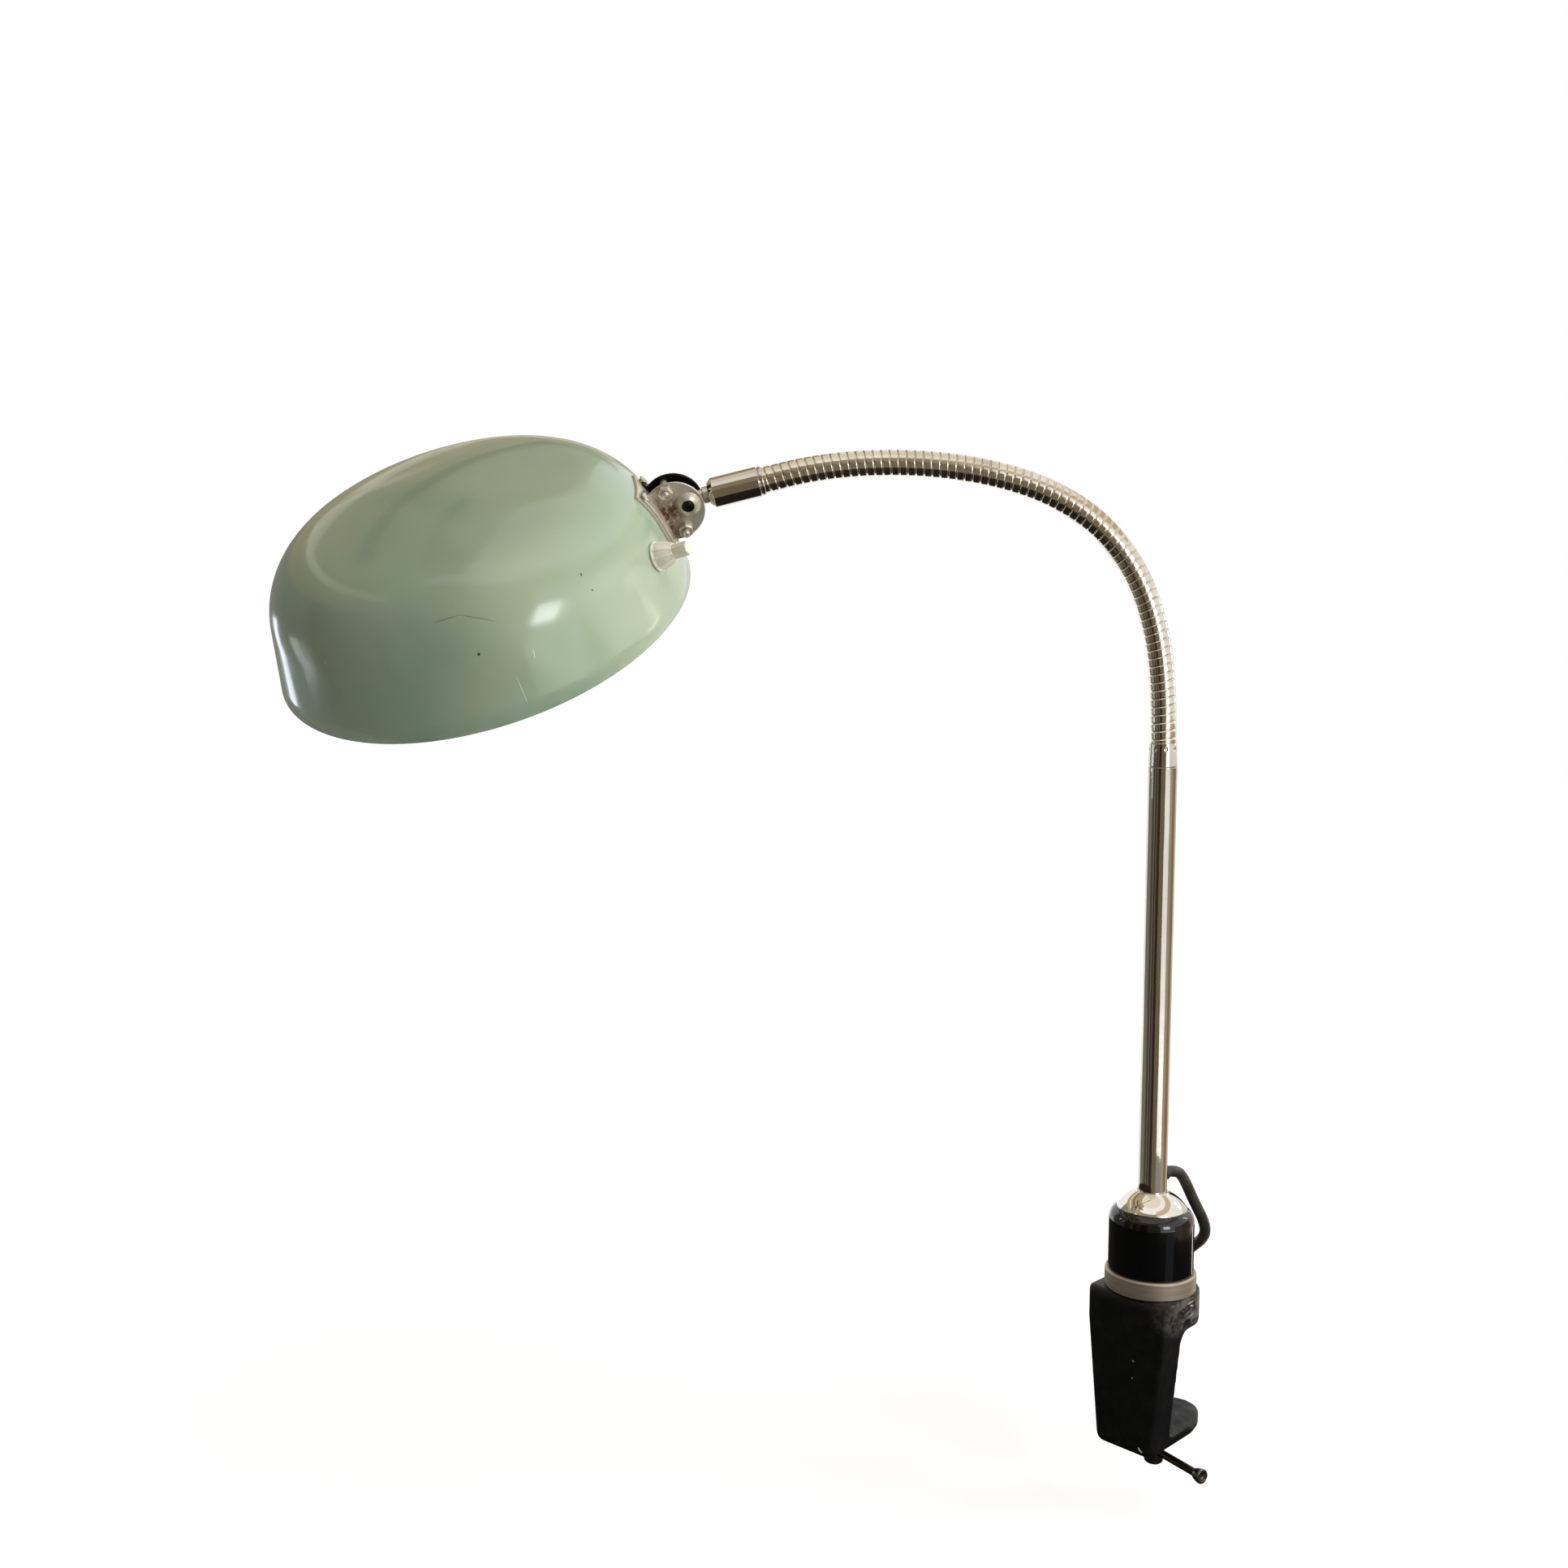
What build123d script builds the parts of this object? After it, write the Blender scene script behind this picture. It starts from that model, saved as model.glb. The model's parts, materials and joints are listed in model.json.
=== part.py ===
# Clamp-on desk lamp with a gooseneck: a C-clamp, a swivel base with a chrome stem, a wound flexible neck,
# a ball joint between two pressed cheeks, and a spun enamelled shade with a push switch.
# Millimetres. The origin is on the stem's axis, on the face of the upper jaw that rests on the table.
# +Z is up, and +Y is the way that the clamp opens, onto the table.
import os
from math import asin, atan2, cos, degrees, pi, radians, sin, sqrt, tan

from build123d import *

os.makedirs("parts", exist_ok=True)

# Fits
running_gap = 0.08  # round a shaft, screw or pin that turns or slides
body_gap = 0.3  # between other faces that move past each other
seat_gap = 0.05  # round a rivet, bolt or tube that stays put
overrun = 2.0  # how far a cutting solid passes the face that it cuts

# Clamp casting
jaw_thick = 15.5
jaw_width = 44.4
jaw_nose_y = 2.7
spine_thick = 15.5
spine_back = 21.5
throat_gap = 54.0
tongue_thick = 7.0
tongue_nose_radius = 12.5
tongue_nose_y = 24.0
foot_width = 31.8
foot_corner = 4.5
spine_corner = 3.8
jaw_corner = 6.0
inner_corner = 4.0

# Clamp screw
screw_y = 7.0
screw_radius = 4.8
table_gap = 18.0
shoe_radius = 10.5
shoe_thick = 6.0
shoe_edge = 1.0
spigot_radius = 3.0
spigot_length = 4.0
head_radius = 4.6
head_height = 12.5
head_clear = 2.5
head_edge = 0.8
bar_radius = 1.9
bar_half = 30.0
bar_azimuth = -13.0
knob_radius = 3.6
knob_length = 4.6
knob_neck_radius = 2.6
knob_recess_radius = 2.2
knob_recess = 1.2

# Base
ring_radius = 21.9
ring_height = 8.8
ring_edge = 0.7
base_radius = 20.4
base_height = 30.1
base_wall = 3.0
base_shoulder = 3.6
shoulder_rise = 6.0
plate_thick = 4.0
pivot_radius = 5.0
pivot_depth = 11.0
pivot_nut_flats = 17.0
pivot_nut_thick = 6.0
pivot_end = 1.2
washer_radius = 9.5
washer_thick = 1.5
dome_height = 8.6
dome_rim = 0.4
dome_slope = 58.0
dome_wall = 1.2
dome_lip_radius = 8.4
dome_lip = 0.5
stem_nut_flats = 24.0
stem_nut_thick = 5.0

# Stem
stem_radius = 7.0
stem_wall = 1.2
stem_foot_clear = 1.6
stem_top = 269.2

# Gooseneck: each length's lean from upright, at rest, from the stem to the shade
neck_leans = (1.0, 8.0, 20.0, 38.0, 58.0, 73.0, 82.0, 89.0, 96.0, 104.3)
arm_azimuth = 225.0
link_length = 28.5
neck_radius = 6.25
neck_groove_radius = 5.65
neck_bore_radius = 3.0
neck_ball_radius = 7.0
ribs_per_link = 7
crest_share = 0.72
neck_start = 278.0
lower_ferrule_radius = 6.7
lower_spigot = 8.0
upper_ferrule_radius = 7.2
upper_ferrule_length = 22.1
upper_ferrule_chamfer = 2.2
upper_spigot_radius = 5.4
upper_spigot = 9.0

# Ball joint
ball_radius = 7.0
ball_flat = 5.0
ball_reach = 10.7
stud_radius = 3.0
stud_grip = 10.0
stud_collar_radius = 4.0
stud_collar = 2.7
stud_neck_radius = 3.2
stud_spindle_radius = 2.5
stud_rivet = 0.7
stud_bore_radius = 1.4

# Cheeks
cheek_inside = 4.2
cheek_thick = 1.2
cheek_radius = 14.6
cheek_centre = 7.0
cheek_hole_radius = 3.0
cheek_foot_reach = 13.0
cheek_foot_half_height = 14.0
bolt_n = 6.4
bolt_t = 10.7
bolt_radius = 1.75
bolt_head_radius = 3.3
bolt_head = 2.2
bolt_tails = (1.2, 3.0)
nut_flats = 6.4
nut_thick = 2.8
bracket_plate = 1.2
bracket_half_height = 16.5
bracket_half_width = 13.4
rivet_radius = 1.5
rivet_head_radius = 2.6
rivet_head = 1.2
rivet_seat = 0.15
rivet_t = 12.5
rivet_w = 9.6

# Shade
shade_roll = 32.2
shade_radius = 102.2
shade_depth = 71.0
shade_draft = 13.0
shade_shoulder = 44.0
shade_crown = 270.0
shade_wall = 1.0
ball_height = 34.5
ball_to_wall = 14.8

# Lampholder and bulb
holder_height = 32.0
holder_radius = 17.0
holder_length = 42.0
holder_neck_radius = 11.0
holder_neck = 9.0
holder_bore_radius = 13.6
holder_bore = 27.0
cap_radius = 13.0
cap_length = 25.0
bulb_radius = 22.5
bulb_neck_radius = 12.0
bulb_neck = 9.0
bulb_wall = 0.8

# Switch
switch_azimuth = -20.0
switch_height = 26.0
collar_foot_radius = 7.0
collar_foot = 1.0
collar_tip_radius = 3.9
collar_length = 9.5
collar_sides = 10
switch_neck_radius = 4.4
switch_body_radius = 6.0
switch_body_length = 17.0
switch_seat = 0.8
button_radius = 2.6
button_reach = 7.4
button_travel = 3.0
button_edge = 0.6
button_flange_radius = 3.4
button_flange = 1.4

# Cord. Its points are chosen by hand: along the way that the coil hangs, left of that, and up.
cord_radius = 2.75
coil_azimuth = 121.5
exit_azimuth = 70.9
exit_rise = 7.7
grommet_radius = 4.0
grommet_reach = 1.0
grommet_neck_radius = 3.4
cord_route = (
    (9.0, -11.0, 71.0),
    (12.4, -14.6, 67.0),
    (18.6, -20.4, 52.5),
    (26.0, -26.0, 40.0),
    (33.0, -26.5, 30.5),
    (41.0, -20.5, 22.0),
    (46.5, -11.5, 11.0),
)
lead_fall = 13.0
coil_along = 81.0
coil_up = -16.0
coil_left = -7.15
coil_pitch = 6.1
coil_mean_radius = 29.75
coil_turns = (2.0, 2.0, 2.0, 1.5)
climb_turns = 0.5
cord_sides = 8
tie_width = 8.0
tie_thick = 1.2
tail_length = 27.0
plug_width = 26.0
plug_thick = 13.5
plug_length = 18.0
plug_corner = 4.0
plug_neck_radius = 5.0
plug_neck = 5.0
pin_radius = 2.0
pin_length = 15.0
pin_spacing = 19.0


def save(piece, name, place=Location()):
    piece.part = piece.part.moved(place)
    piece.part.label = name
    export_step(piece.part, f"parts/{name}.step")


def turn(radius_at_height, sphere):
    # Height above a sphere's centre at which the sphere has the given radius.
    return sqrt(sphere**2 - radius_at_height**2)


# Levels
tongue_top = -throat_gap
tongue_bottom = tongue_top - tongue_thick
spine_front = spine_back - spine_thick
ring_top = jaw_thick + ring_height
base_bottom = ring_top + body_gap
base_top = base_bottom + base_height
plate_top = base_bottom + plate_thick
washer_bottom = plate_top + body_gap
pivot_nut_bottom = washer_bottom + washer_thick
pivot_top = pivot_nut_bottom + pivot_nut_thick + pivot_end
stem_bottom = pivot_top + stem_foot_clear
dome_radius = base_radius - base_shoulder
dome_top = base_top + dome_height
exit_height = dome_top + exit_rise
shoe_top = -table_gap
shoe_bottom = shoe_top - shoe_thick
head_top = tongue_bottom - head_clear
head_bottom = head_top - head_height
bar_height = head_top - head_height / 2

# Clamp casting: a tapered spine, an upper jaw with a round nose, and a lower tongue
jaw_tip = jaw_nose_y + jaw_width / 2
tongue_tip = tongue_nose_y + tongue_nose_radius
with BuildPart() as clamp_casting:
    with BuildSketch(Plane.YZ) as side:
        with BuildLine():
            Polyline(
                (-spine_back, jaw_thick),
                (jaw_tip, jaw_thick),
                (jaw_tip, 0),
                (-spine_front, 0),
                (-spine_front, tongue_top),
                (tongue_tip, tongue_top),
                (tongue_tip, tongue_bottom),
                (-spine_back, tongue_bottom),
                close=True,
            )
        make_face()
        fillet(side.vertices().group_by(Axis.X)[1].sort_by(Axis.Y)[-1], jaw_corner)
        fillet(side.vertices().group_by(Axis.X)[1].sort_by(Axis.Y)[0], inner_corner)
    extrude(amount=jaw_width / 2, both=True)
    with BuildSketch(Plane.XZ):
        with BuildLine():
            Polyline(
                (-jaw_width / 2, 0),
                (-jaw_width / 2, jaw_thick),
                (jaw_width / 2, jaw_thick),
                (jaw_width / 2, 0),
                (foot_width / 2, tongue_bottom),
                (-foot_width / 2, tongue_bottom),
                close=True,
            )
        front_face = make_face()
        fillet(front_face.vertices().group_by(Axis.Y)[0], foot_corner)
    extrude(amount=tongue_tip, both=True, mode=Mode.INTERSECT)
    with BuildSketch(Plane.XY.offset(tongue_top / 2)):
        with Locations((0, (jaw_nose_y - spine_back) / 2)):
            Rectangle(jaw_width, jaw_nose_y + spine_back)
        with Locations((0, jaw_nose_y)):
            Circle(jaw_width / 2)
    upper_plan = extrude(amount=jaw_thick - tongue_top / 2, mode=Mode.PRIVATE)
    with BuildSketch(Plane.XY.offset(tongue_top / 2)):
        with Locations((0, tongue_nose_y)):
            Circle(tongue_nose_radius)
        with Locations((0, -(spine_back + spine_front) / 2)):
            Rectangle(jaw_width, spine_thick)
        make_hull()
    lower_plan = extrude(amount=tongue_bottom - tongue_top / 2, mode=Mode.PRIVATE)
    add(upper_plan + lower_plan, mode=Mode.INTERSECT)
    fillet(clamp_casting.faces().sort_by(Axis.Y)[0].edges(), spine_corner)
    with BuildSketch(Plane.XY.offset(jaw_thick)):
        Circle(pivot_radius + seat_gap)
    extrude(amount=-pivot_depth, mode=Mode.SUBTRACT)
    with BuildSketch(Plane.XY.offset(tongue_bottom)):
        with Locations((0, screw_y)):
            Circle(screw_radius + running_gap)
    extrude(amount=tongue_thick, mode=Mode.SUBTRACT)
save(clamp_casting, "clamp_casting")

# Clamp screw, its swivelling shoe and its sliding bar
with BuildPart() as screw_shoe:
    with BuildSketch(Plane.XY.offset(shoe_bottom)):
        with Locations((0, screw_y)):
            Circle(shoe_radius)
    extrude(amount=shoe_thick)
    chamfer(screw_shoe.edges().group_by(Axis.Z)[0], shoe_edge)
    with BuildSketch(Plane.XY.offset(shoe_bottom)):
        with Locations((0, screw_y)):
            Circle(spigot_radius + running_gap)
    extrude(amount=spigot_length + body_gap, mode=Mode.SUBTRACT)
save(screw_shoe, "screw_shoe")

bar_plane = Plane(
    origin=(0, screw_y, bar_height),
    x_dir=(0, 0, 1),
    z_dir=(cos(radians(bar_azimuth)), sin(radians(bar_azimuth)), 0),
)
with BuildPart() as clamp_screw:
    with BuildSketch(Plane.XY.offset(head_bottom)):
        with Locations((0, screw_y)):
            Circle(head_radius)
    extrude(amount=head_height)
    chamfer(clamp_screw.edges().group_by(Axis.Z)[0], head_edge)
    with BuildSketch(Plane.XY.offset(head_top)):
        with Locations((0, screw_y)):
            Circle(screw_radius)
    extrude(amount=shoe_bottom - body_gap - head_top)
    with BuildSketch(Plane.XY.offset(shoe_bottom - body_gap)):
        with Locations((0, screw_y)):
            Circle(spigot_radius)
    extrude(amount=spigot_length)
    with BuildSketch(bar_plane):
        Circle(bar_radius + running_gap)
    extrude(amount=head_radius + overrun, both=True, mode=Mode.SUBTRACT)
save(clamp_screw, "clamp_screw")

with BuildPart() as tommy_bar:
    with BuildSketch(bar_plane):
        Circle(bar_radius)
    extrude(amount=bar_half, both=True)
save(tommy_bar, "tommy_bar")

with BuildPart() as tommy_knobs:
    with BuildSketch(Plane.XZ):
        with BuildLine():
            Polyline(
                (0, bar_half),
                (bar_radius, bar_half),
                (bar_radius, bar_half - knob_length / 2),
                (knob_neck_radius, bar_half - knob_length / 2),
                (knob_radius, bar_half + knob_length / 2),
                (knob_recess_radius, bar_half + knob_length / 2),
                (knob_recess_radius, bar_half + knob_length / 2 - knob_recess),
                (0, bar_half + knob_length / 2 - knob_recess),
                close=True,
            )
        make_face()
    revolve(axis=Axis.Z)
    mirror(about=Plane.XY)
save(tommy_knobs, "tommy_knobs", bar_plane.location)

# Base ring, swivel body and what holds it down
with BuildPart() as base_ring:
    with BuildSketch(Plane.XY.offset(jaw_thick)):
        Circle(ring_radius)
        Circle(pivot_radius + seat_gap, mode=Mode.SUBTRACT)
    extrude(amount=ring_height)
    outer_edges = base_ring.edges().filter_by(GeomType.CIRCLE).group_by(SortBy.RADIUS)[-1]
    chamfer(outer_edges, ring_edge)
save(base_ring, "base_ring")

base_bore = base_radius - base_wall
with BuildPart() as base_body:
    with BuildSketch(Plane.XZ):
        with BuildLine():
            Polyline(
                (dome_radius, base_top),
                (0, base_top),
                (0, base_bottom),
                (base_radius, base_bottom),
                (base_radius, base_top - shoulder_rise),
            )
            TangentArc((base_radius, base_top - shoulder_rise), (dome_radius, base_top), tangent=(0, 1))
        make_face()
    revolve(axis=Axis.Z)
    with BuildSketch(Plane.XY.offset(base_bottom)):
        Circle(base_bore)
    extrude(amount=base_height - base_wall, mode=Mode.SUBTRACT)
    with BuildSketch(Plane.XY.offset(base_bottom)):
        Circle(stem_radius + seat_gap)
    extrude(amount=base_height, mode=Mode.SUBTRACT)
save(base_body, "base_body")

with BuildPart() as swivel_plate:
    with BuildSketch(Plane.XY.offset(base_bottom)):
        Circle(base_bore)
        Circle(pivot_radius + running_gap, mode=Mode.SUBTRACT)
    extrude(amount=plate_thick)
save(swivel_plate, "swivel_plate")

with BuildPart() as spring_washer:
    with BuildSketch(Plane.XY.offset(washer_bottom)):
        Circle(washer_radius)
        Circle(pivot_radius + seat_gap, mode=Mode.SUBTRACT)
    extrude(amount=washer_thick)
save(spring_washer, "spring_washer")

with BuildPart() as pivot_stud:
    with BuildSketch(Plane.XY.offset(jaw_thick - pivot_depth)):
        Circle(pivot_radius)
    extrude(amount=pivot_top - jaw_thick + pivot_depth)
save(pivot_stud, "pivot_stud")

with BuildPart() as pivot_nut:
    with BuildSketch(Plane.XY.offset(pivot_nut_bottom)):
        RegularPolygon(pivot_nut_flats / 2, side_count=6, major_radius=False)
        Circle(pivot_radius + seat_gap, mode=Mode.SUBTRACT)
    extrude(amount=pivot_nut_thick)
save(pivot_nut, "pivot_nut")

with BuildPart() as stem_nut:
    with BuildSketch(Plane.XY.offset(base_top - base_wall - stem_nut_thick)):
        RegularPolygon(stem_nut_flats / 2, side_count=6, major_radius=False)
        Circle(stem_radius + seat_gap, mode=Mode.SUBTRACT)
    extrude(amount=stem_nut_thick)
save(stem_nut, "stem_nut")

# Dome cap: a thin spun cover that slopes up from its rim to a lip round the stem
dome_tangent = (-cos(radians(dome_slope)), sin(radians(dome_slope)))
dome_rim_top = base_top + dome_rim
dome_lip_bottom = dome_top - dome_lip
with BuildPart() as dome_cap:
    with BuildSketch(Plane.XZ):
        with BuildLine():
            Line((dome_radius, base_top), (dome_radius, dome_rim_top))
            TangentArc((dome_radius, dome_rim_top), (dome_lip_radius, dome_lip_bottom), tangent=dome_tangent)
            Polyline(
                (dome_lip_radius, dome_lip_bottom),
                (dome_lip_radius, dome_top),
                (stem_radius + seat_gap, dome_top),
                (stem_radius + seat_gap, dome_lip_bottom - dome_wall),
                (dome_lip_radius - dome_lip, dome_lip_bottom - dome_wall),
            )
            TangentArc(
                (dome_radius - dome_wall, dome_rim_top),
                (dome_lip_radius - dome_lip, dome_lip_bottom - dome_wall),
                tangent=dome_tangent,
            )
            Line((dome_radius - dome_wall, dome_rim_top), (dome_radius - dome_wall, base_top))
            Line((dome_radius - dome_wall, base_top), (dome_radius, base_top))
        make_face()
    revolve(axis=Axis.Z)
save(dome_cap, "dome_cap")

# Stem, with a side hole for the cord
exit_plane = Plane(
    origin=(0, 0, exit_height),
    x_dir=(0, 0, 1),
    z_dir=(cos(radians(exit_azimuth)), sin(radians(exit_azimuth)), 0),
)
stem_bore = stem_radius - stem_wall
with BuildPart() as stem_tube:
    with BuildSketch(Plane.XY.offset(stem_bottom)):
        Circle(stem_radius)
        Circle(stem_bore, mode=Mode.SUBTRACT)
    extrude(amount=stem_top - stem_bottom)
    with BuildSketch(exit_plane):
        Circle(grommet_neck_radius)
    extrude(amount=stem_radius + overrun, mode=Mode.SUBTRACT)
save(stem_tube, "stem_tube")

with BuildPart() as cord_grommet:
    with BuildSketch(exit_plane):
        Circle(grommet_radius)
    extrude(amount=stem_radius + grommet_reach)
    fillet(cord_grommet.faces().filter_by(exit_plane).edges(), grommet_reach / 2)
    with BuildSketch(Plane.XY.offset(exit_height)):
        Circle(stem_radius)
    extrude(amount=grommet_radius + overrun, both=True, mode=Mode.SUBTRACT)
    with BuildSketch(exit_plane.offset(stem_bore)):
        Circle(grommet_neck_radius)
    extrude(amount=stem_wall + grommet_reach / 2)
    with BuildSketch(exit_plane):
        Circle(cord_radius)
    extrude(amount=stem_radius + grommet_reach + overrun, mode=Mode.SUBTRACT)
save(cord_grommet, "cord_grommet")

# Gooseneck: a sleeve on the stem, ten ribbed lengths that nest ball in socket, and a sleeve for the ball stud
socket_radius = neck_ball_radius + body_gap
arm_dir = Vector(cos(radians(arm_azimuth)), sin(radians(arm_azimuth)), 0)
bend_axis = Vector(0, 0, 1).cross(arm_dir)


def lean_dir(lean):
    return arm_dir * sin(radians(lean)) + Vector(0, 0, cos(radians(lean)))


neck_joints = [Vector(0, 0, neck_start)]
for lean in neck_leans:
    neck_joints.append(neck_joints[-1] + lean_dir(lean) * link_length)
neck_places = [
    Plane(origin=joint, x_dir=bend_axis, z_dir=lean_dir(lean)).location
    for joint, lean in zip(neck_joints, neck_leans)
]


def ball_nose(outer, height):
    # Arc of a nose from its outer edge to the bore, about a joint at the given height.
    middle = (outer + neck_bore_radius) / 2
    ThreePointArc(
        (outer, height + turn(outer, neck_ball_radius)),
        (middle, height + turn(middle, neck_ball_radius)),
        (neck_bore_radius, height + turn(neck_bore_radius, neck_ball_radius)),
    )


with BuildPart() as lower_ferrule:
    with BuildSketch(Plane.XZ):
        with BuildLine():
            ball_nose(lower_ferrule_radius, neck_start)
            Polyline(
                (neck_bore_radius, neck_start + turn(neck_bore_radius, neck_ball_radius)),
                (neck_bore_radius, stem_top - lower_spigot),
                (stem_bore, stem_top - lower_spigot),
                (stem_bore, stem_top),
                (lower_ferrule_radius, stem_top),
                (lower_ferrule_radius, neck_start + turn(lower_ferrule_radius, neck_ball_radius)),
            )
        make_face()
    revolve(axis=Axis.Z)
save(lower_ferrule, "lower_ferrule")


def ribbed_side(bottom, top):
    # Groove and crest points of the winding, from one end of a length to the other.
    pitch = (top - bottom) / ribs_per_link
    flank = pitch * (1 - crest_share) / 2
    points = []
    for rib in range(ribs_per_link):
        start = bottom + rib * pitch
        points.append((neck_groove_radius, start))
        points.append((neck_radius, start + flank))
        points.append((neck_radius, start + pitch - flank))
    return points + [(neck_groove_radius, top)]


rib_bottom = turn(neck_groove_radius, socket_radius)
socket_top = turn(neck_bore_radius, socket_radius)
socket_middle = (neck_groove_radius + neck_bore_radius) / 2


def socket_arc():
    ThreePointArc(
        (neck_bore_radius, socket_top),
        (socket_middle, turn(socket_middle, socket_radius)),
        (neck_groove_radius, rib_bottom),
    )


with BuildPart() as neck_link:
    with BuildSketch(Plane.XZ):
        with BuildLine():
            socket_arc()
            Polyline(*ribbed_side(rib_bottom, link_length + turn(neck_groove_radius, neck_ball_radius)))
            ball_nose(neck_groove_radius, link_length)
            Line(
                (neck_bore_radius, link_length + turn(neck_bore_radius, neck_ball_radius)),
                (neck_bore_radius, socket_top),
            )
        make_face()
    revolve(axis=Axis.Z)

with BuildPart() as neck_end:
    with BuildSketch(Plane.XZ):
        with BuildLine():
            socket_arc()
            Polyline(
                *ribbed_side(rib_bottom, link_length),
                (upper_spigot_radius, link_length),
                (upper_spigot_radius, link_length + upper_spigot),
                (neck_bore_radius, link_length + upper_spigot),
                (neck_bore_radius, socket_top),
            )
        make_face()
    revolve(axis=Axis.Z)

for number, place in enumerate(neck_places, start=1):
    link = neck_end if number == len(neck_places) else neck_link
    neck_piece = link.part.moved(place)
    neck_piece.label = f"neck_link_{number:02d}"
    export_step(neck_piece, f"parts/{neck_piece.label}.step")

neck_end_place = neck_places[-1]
ferrule_end = link_length + upper_ferrule_length
with BuildPart() as upper_ferrule:
    with BuildSketch(Plane.XY.offset(link_length)):
        Circle(upper_ferrule_radius)
    extrude(amount=upper_ferrule_length)
    chamfer(upper_ferrule.edges().group_by(Axis.Z)[-1], upper_ferrule_chamfer)
    with BuildSketch(Plane.XY.offset(link_length)):
        Circle(upper_spigot_radius + seat_gap)
    extrude(amount=upper_spigot + body_gap, mode=Mode.SUBTRACT)
    with BuildSketch(Plane.XY.offset(link_length)):
        Circle(stud_radius + seat_gap)
    extrude(amount=upper_ferrule_length, mode=Mode.SUBTRACT)
save(upper_ferrule, "upper_ferrule", neck_end_place)

# Ball stud and ball, on the last length's axis
ball_z = ferrule_end + ball_reach
collar_end = ferrule_end + stud_collar
with BuildPart() as ball_stud:
    with BuildSketch(Plane.XZ):
        with BuildLine():
            Polyline(
                (stud_bore_radius, ferrule_end - stud_grip),
                (stud_radius, ferrule_end - stud_grip),
                (stud_radius, ferrule_end),
                (stud_collar_radius, ferrule_end),
                (stud_collar_radius, collar_end),
                (stud_neck_radius, collar_end),
                (stud_neck_radius, ball_z - ball_flat - body_gap),
                (stud_spindle_radius, ball_z - ball_flat - body_gap),
                (stud_spindle_radius, ball_z + ball_flat + body_gap),
                (stud_neck_radius, ball_z + ball_flat + body_gap),
                (stud_neck_radius, ball_z + ball_flat + body_gap + stud_rivet),
                (stud_bore_radius, ball_z + ball_flat + body_gap + stud_rivet),
                close=True,
            )
        make_face()
    revolve(axis=Axis.Z)
save(ball_stud, "ball_stud", neck_end_place)

flat_angle = degrees(asin(ball_flat / ball_radius))
with BuildPart() as joint_ball:
    with Locations((0, 0, ball_z)):
        Sphere(ball_radius, arc_size1=-flat_angle, arc_size2=flat_angle)
        Cylinder(stud_spindle_radius + running_gap, ball_radius * 2, mode=Mode.SUBTRACT)
save(joint_ball, "joint_ball", neck_end_place)

# Shade's frame: X from the middle to the ball joint, Z from the rim to the crown
ball_centre = neck_joints[-1] + lean_dir(neck_leans[-1]) * (upper_ferrule_length + ball_reach)
shade_x = lean_dir(neck_leans[-1]) * -1
level_side = arm_dir.cross(Vector(0, 0, 1))
neck_up = lean_dir(neck_leans[-1] - 90)
shade_y = level_side * cos(radians(shade_roll)) + neck_up * sin(radians(shade_roll))
shade_z = shade_x.cross(shade_y)
wall_radius = shade_radius - ball_height * tan(radians(shade_draft))
ball_x = wall_radius + ball_to_wall
shade_plane = Plane(
    origin=ball_centre - shade_x * ball_x - shade_z * ball_height,
    x_dir=shade_x,
    z_dir=shade_z,
)
shade_place = shade_plane.location
draft_cos = cos(radians(shade_draft))
draft_sin = sin(radians(shade_draft))
draft_tan = tan(radians(shade_draft))


def bowl_half(growth):
    # Half section of the bowl's outside, grown outwards by the given amount.
    foot = shade_radius + growth / draft_cos
    top = shade_depth + growth
    with BuildSketch(Plane.XZ) as half:
        with BuildLine():
            Polyline((0, 0), (foot, 0), (foot - top * draft_tan, top), (0, top), close=True)
        make_face()
        with Locations((0, shade_depth - shade_crown)):
            Circle(shade_crown + growth, mode=Mode.INTERSECT)
        fillet(half.vertices().sort_by(Axis.X)[-2], shade_shoulder + growth)
    return half.sketch


shoulder_arc = bowl_half(0).edges().filter_by(GeomType.CIRCLE).sort_by(SortBy.RADIUS)[0]
shoulder_middle = shoulder_arc.arc_center


def wall_plane(azimuth, height):
    # Tangent plane of the bowl's outside: X up the wall, Z outwards.
    lift = (height - shoulder_middle.Z) / shade_shoulder
    if lift > draft_sin:
        rise = asin(lift)
        radius = shoulder_middle.X + shade_shoulder * cos(rise)
    else:
        rise = radians(shade_draft)
        radius = shade_radius - height * draft_tan
    side = radians(azimuth)
    return Plane(
        origin=(radius * cos(side), radius * sin(side), height),
        x_dir=(-sin(rise) * cos(side), -sin(rise) * sin(side), cos(rise)),
        z_dir=(cos(rise) * cos(side), cos(rise) * sin(side), sin(rise)),
    )


# Bracket's frame: X out from the wall, Y up the wall, Z towards the front, about the ball's middle
bracket = Plane(origin=(ball_x, 0, ball_height), x_dir=(draft_cos, 0, draft_sin), z_dir=(0, -1, 0))
foot_height = ball_height - ball_to_wall * draft_sin * draft_cos
rivet_azimuth = degrees(asin(rivet_w / wall_radius))
rivet_planes = [
    wall_plane(side * rivet_azimuth, foot_height + rise * rivet_t)
    for side in (-1, 1)
    for rise in (-1, 1)
]


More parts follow.
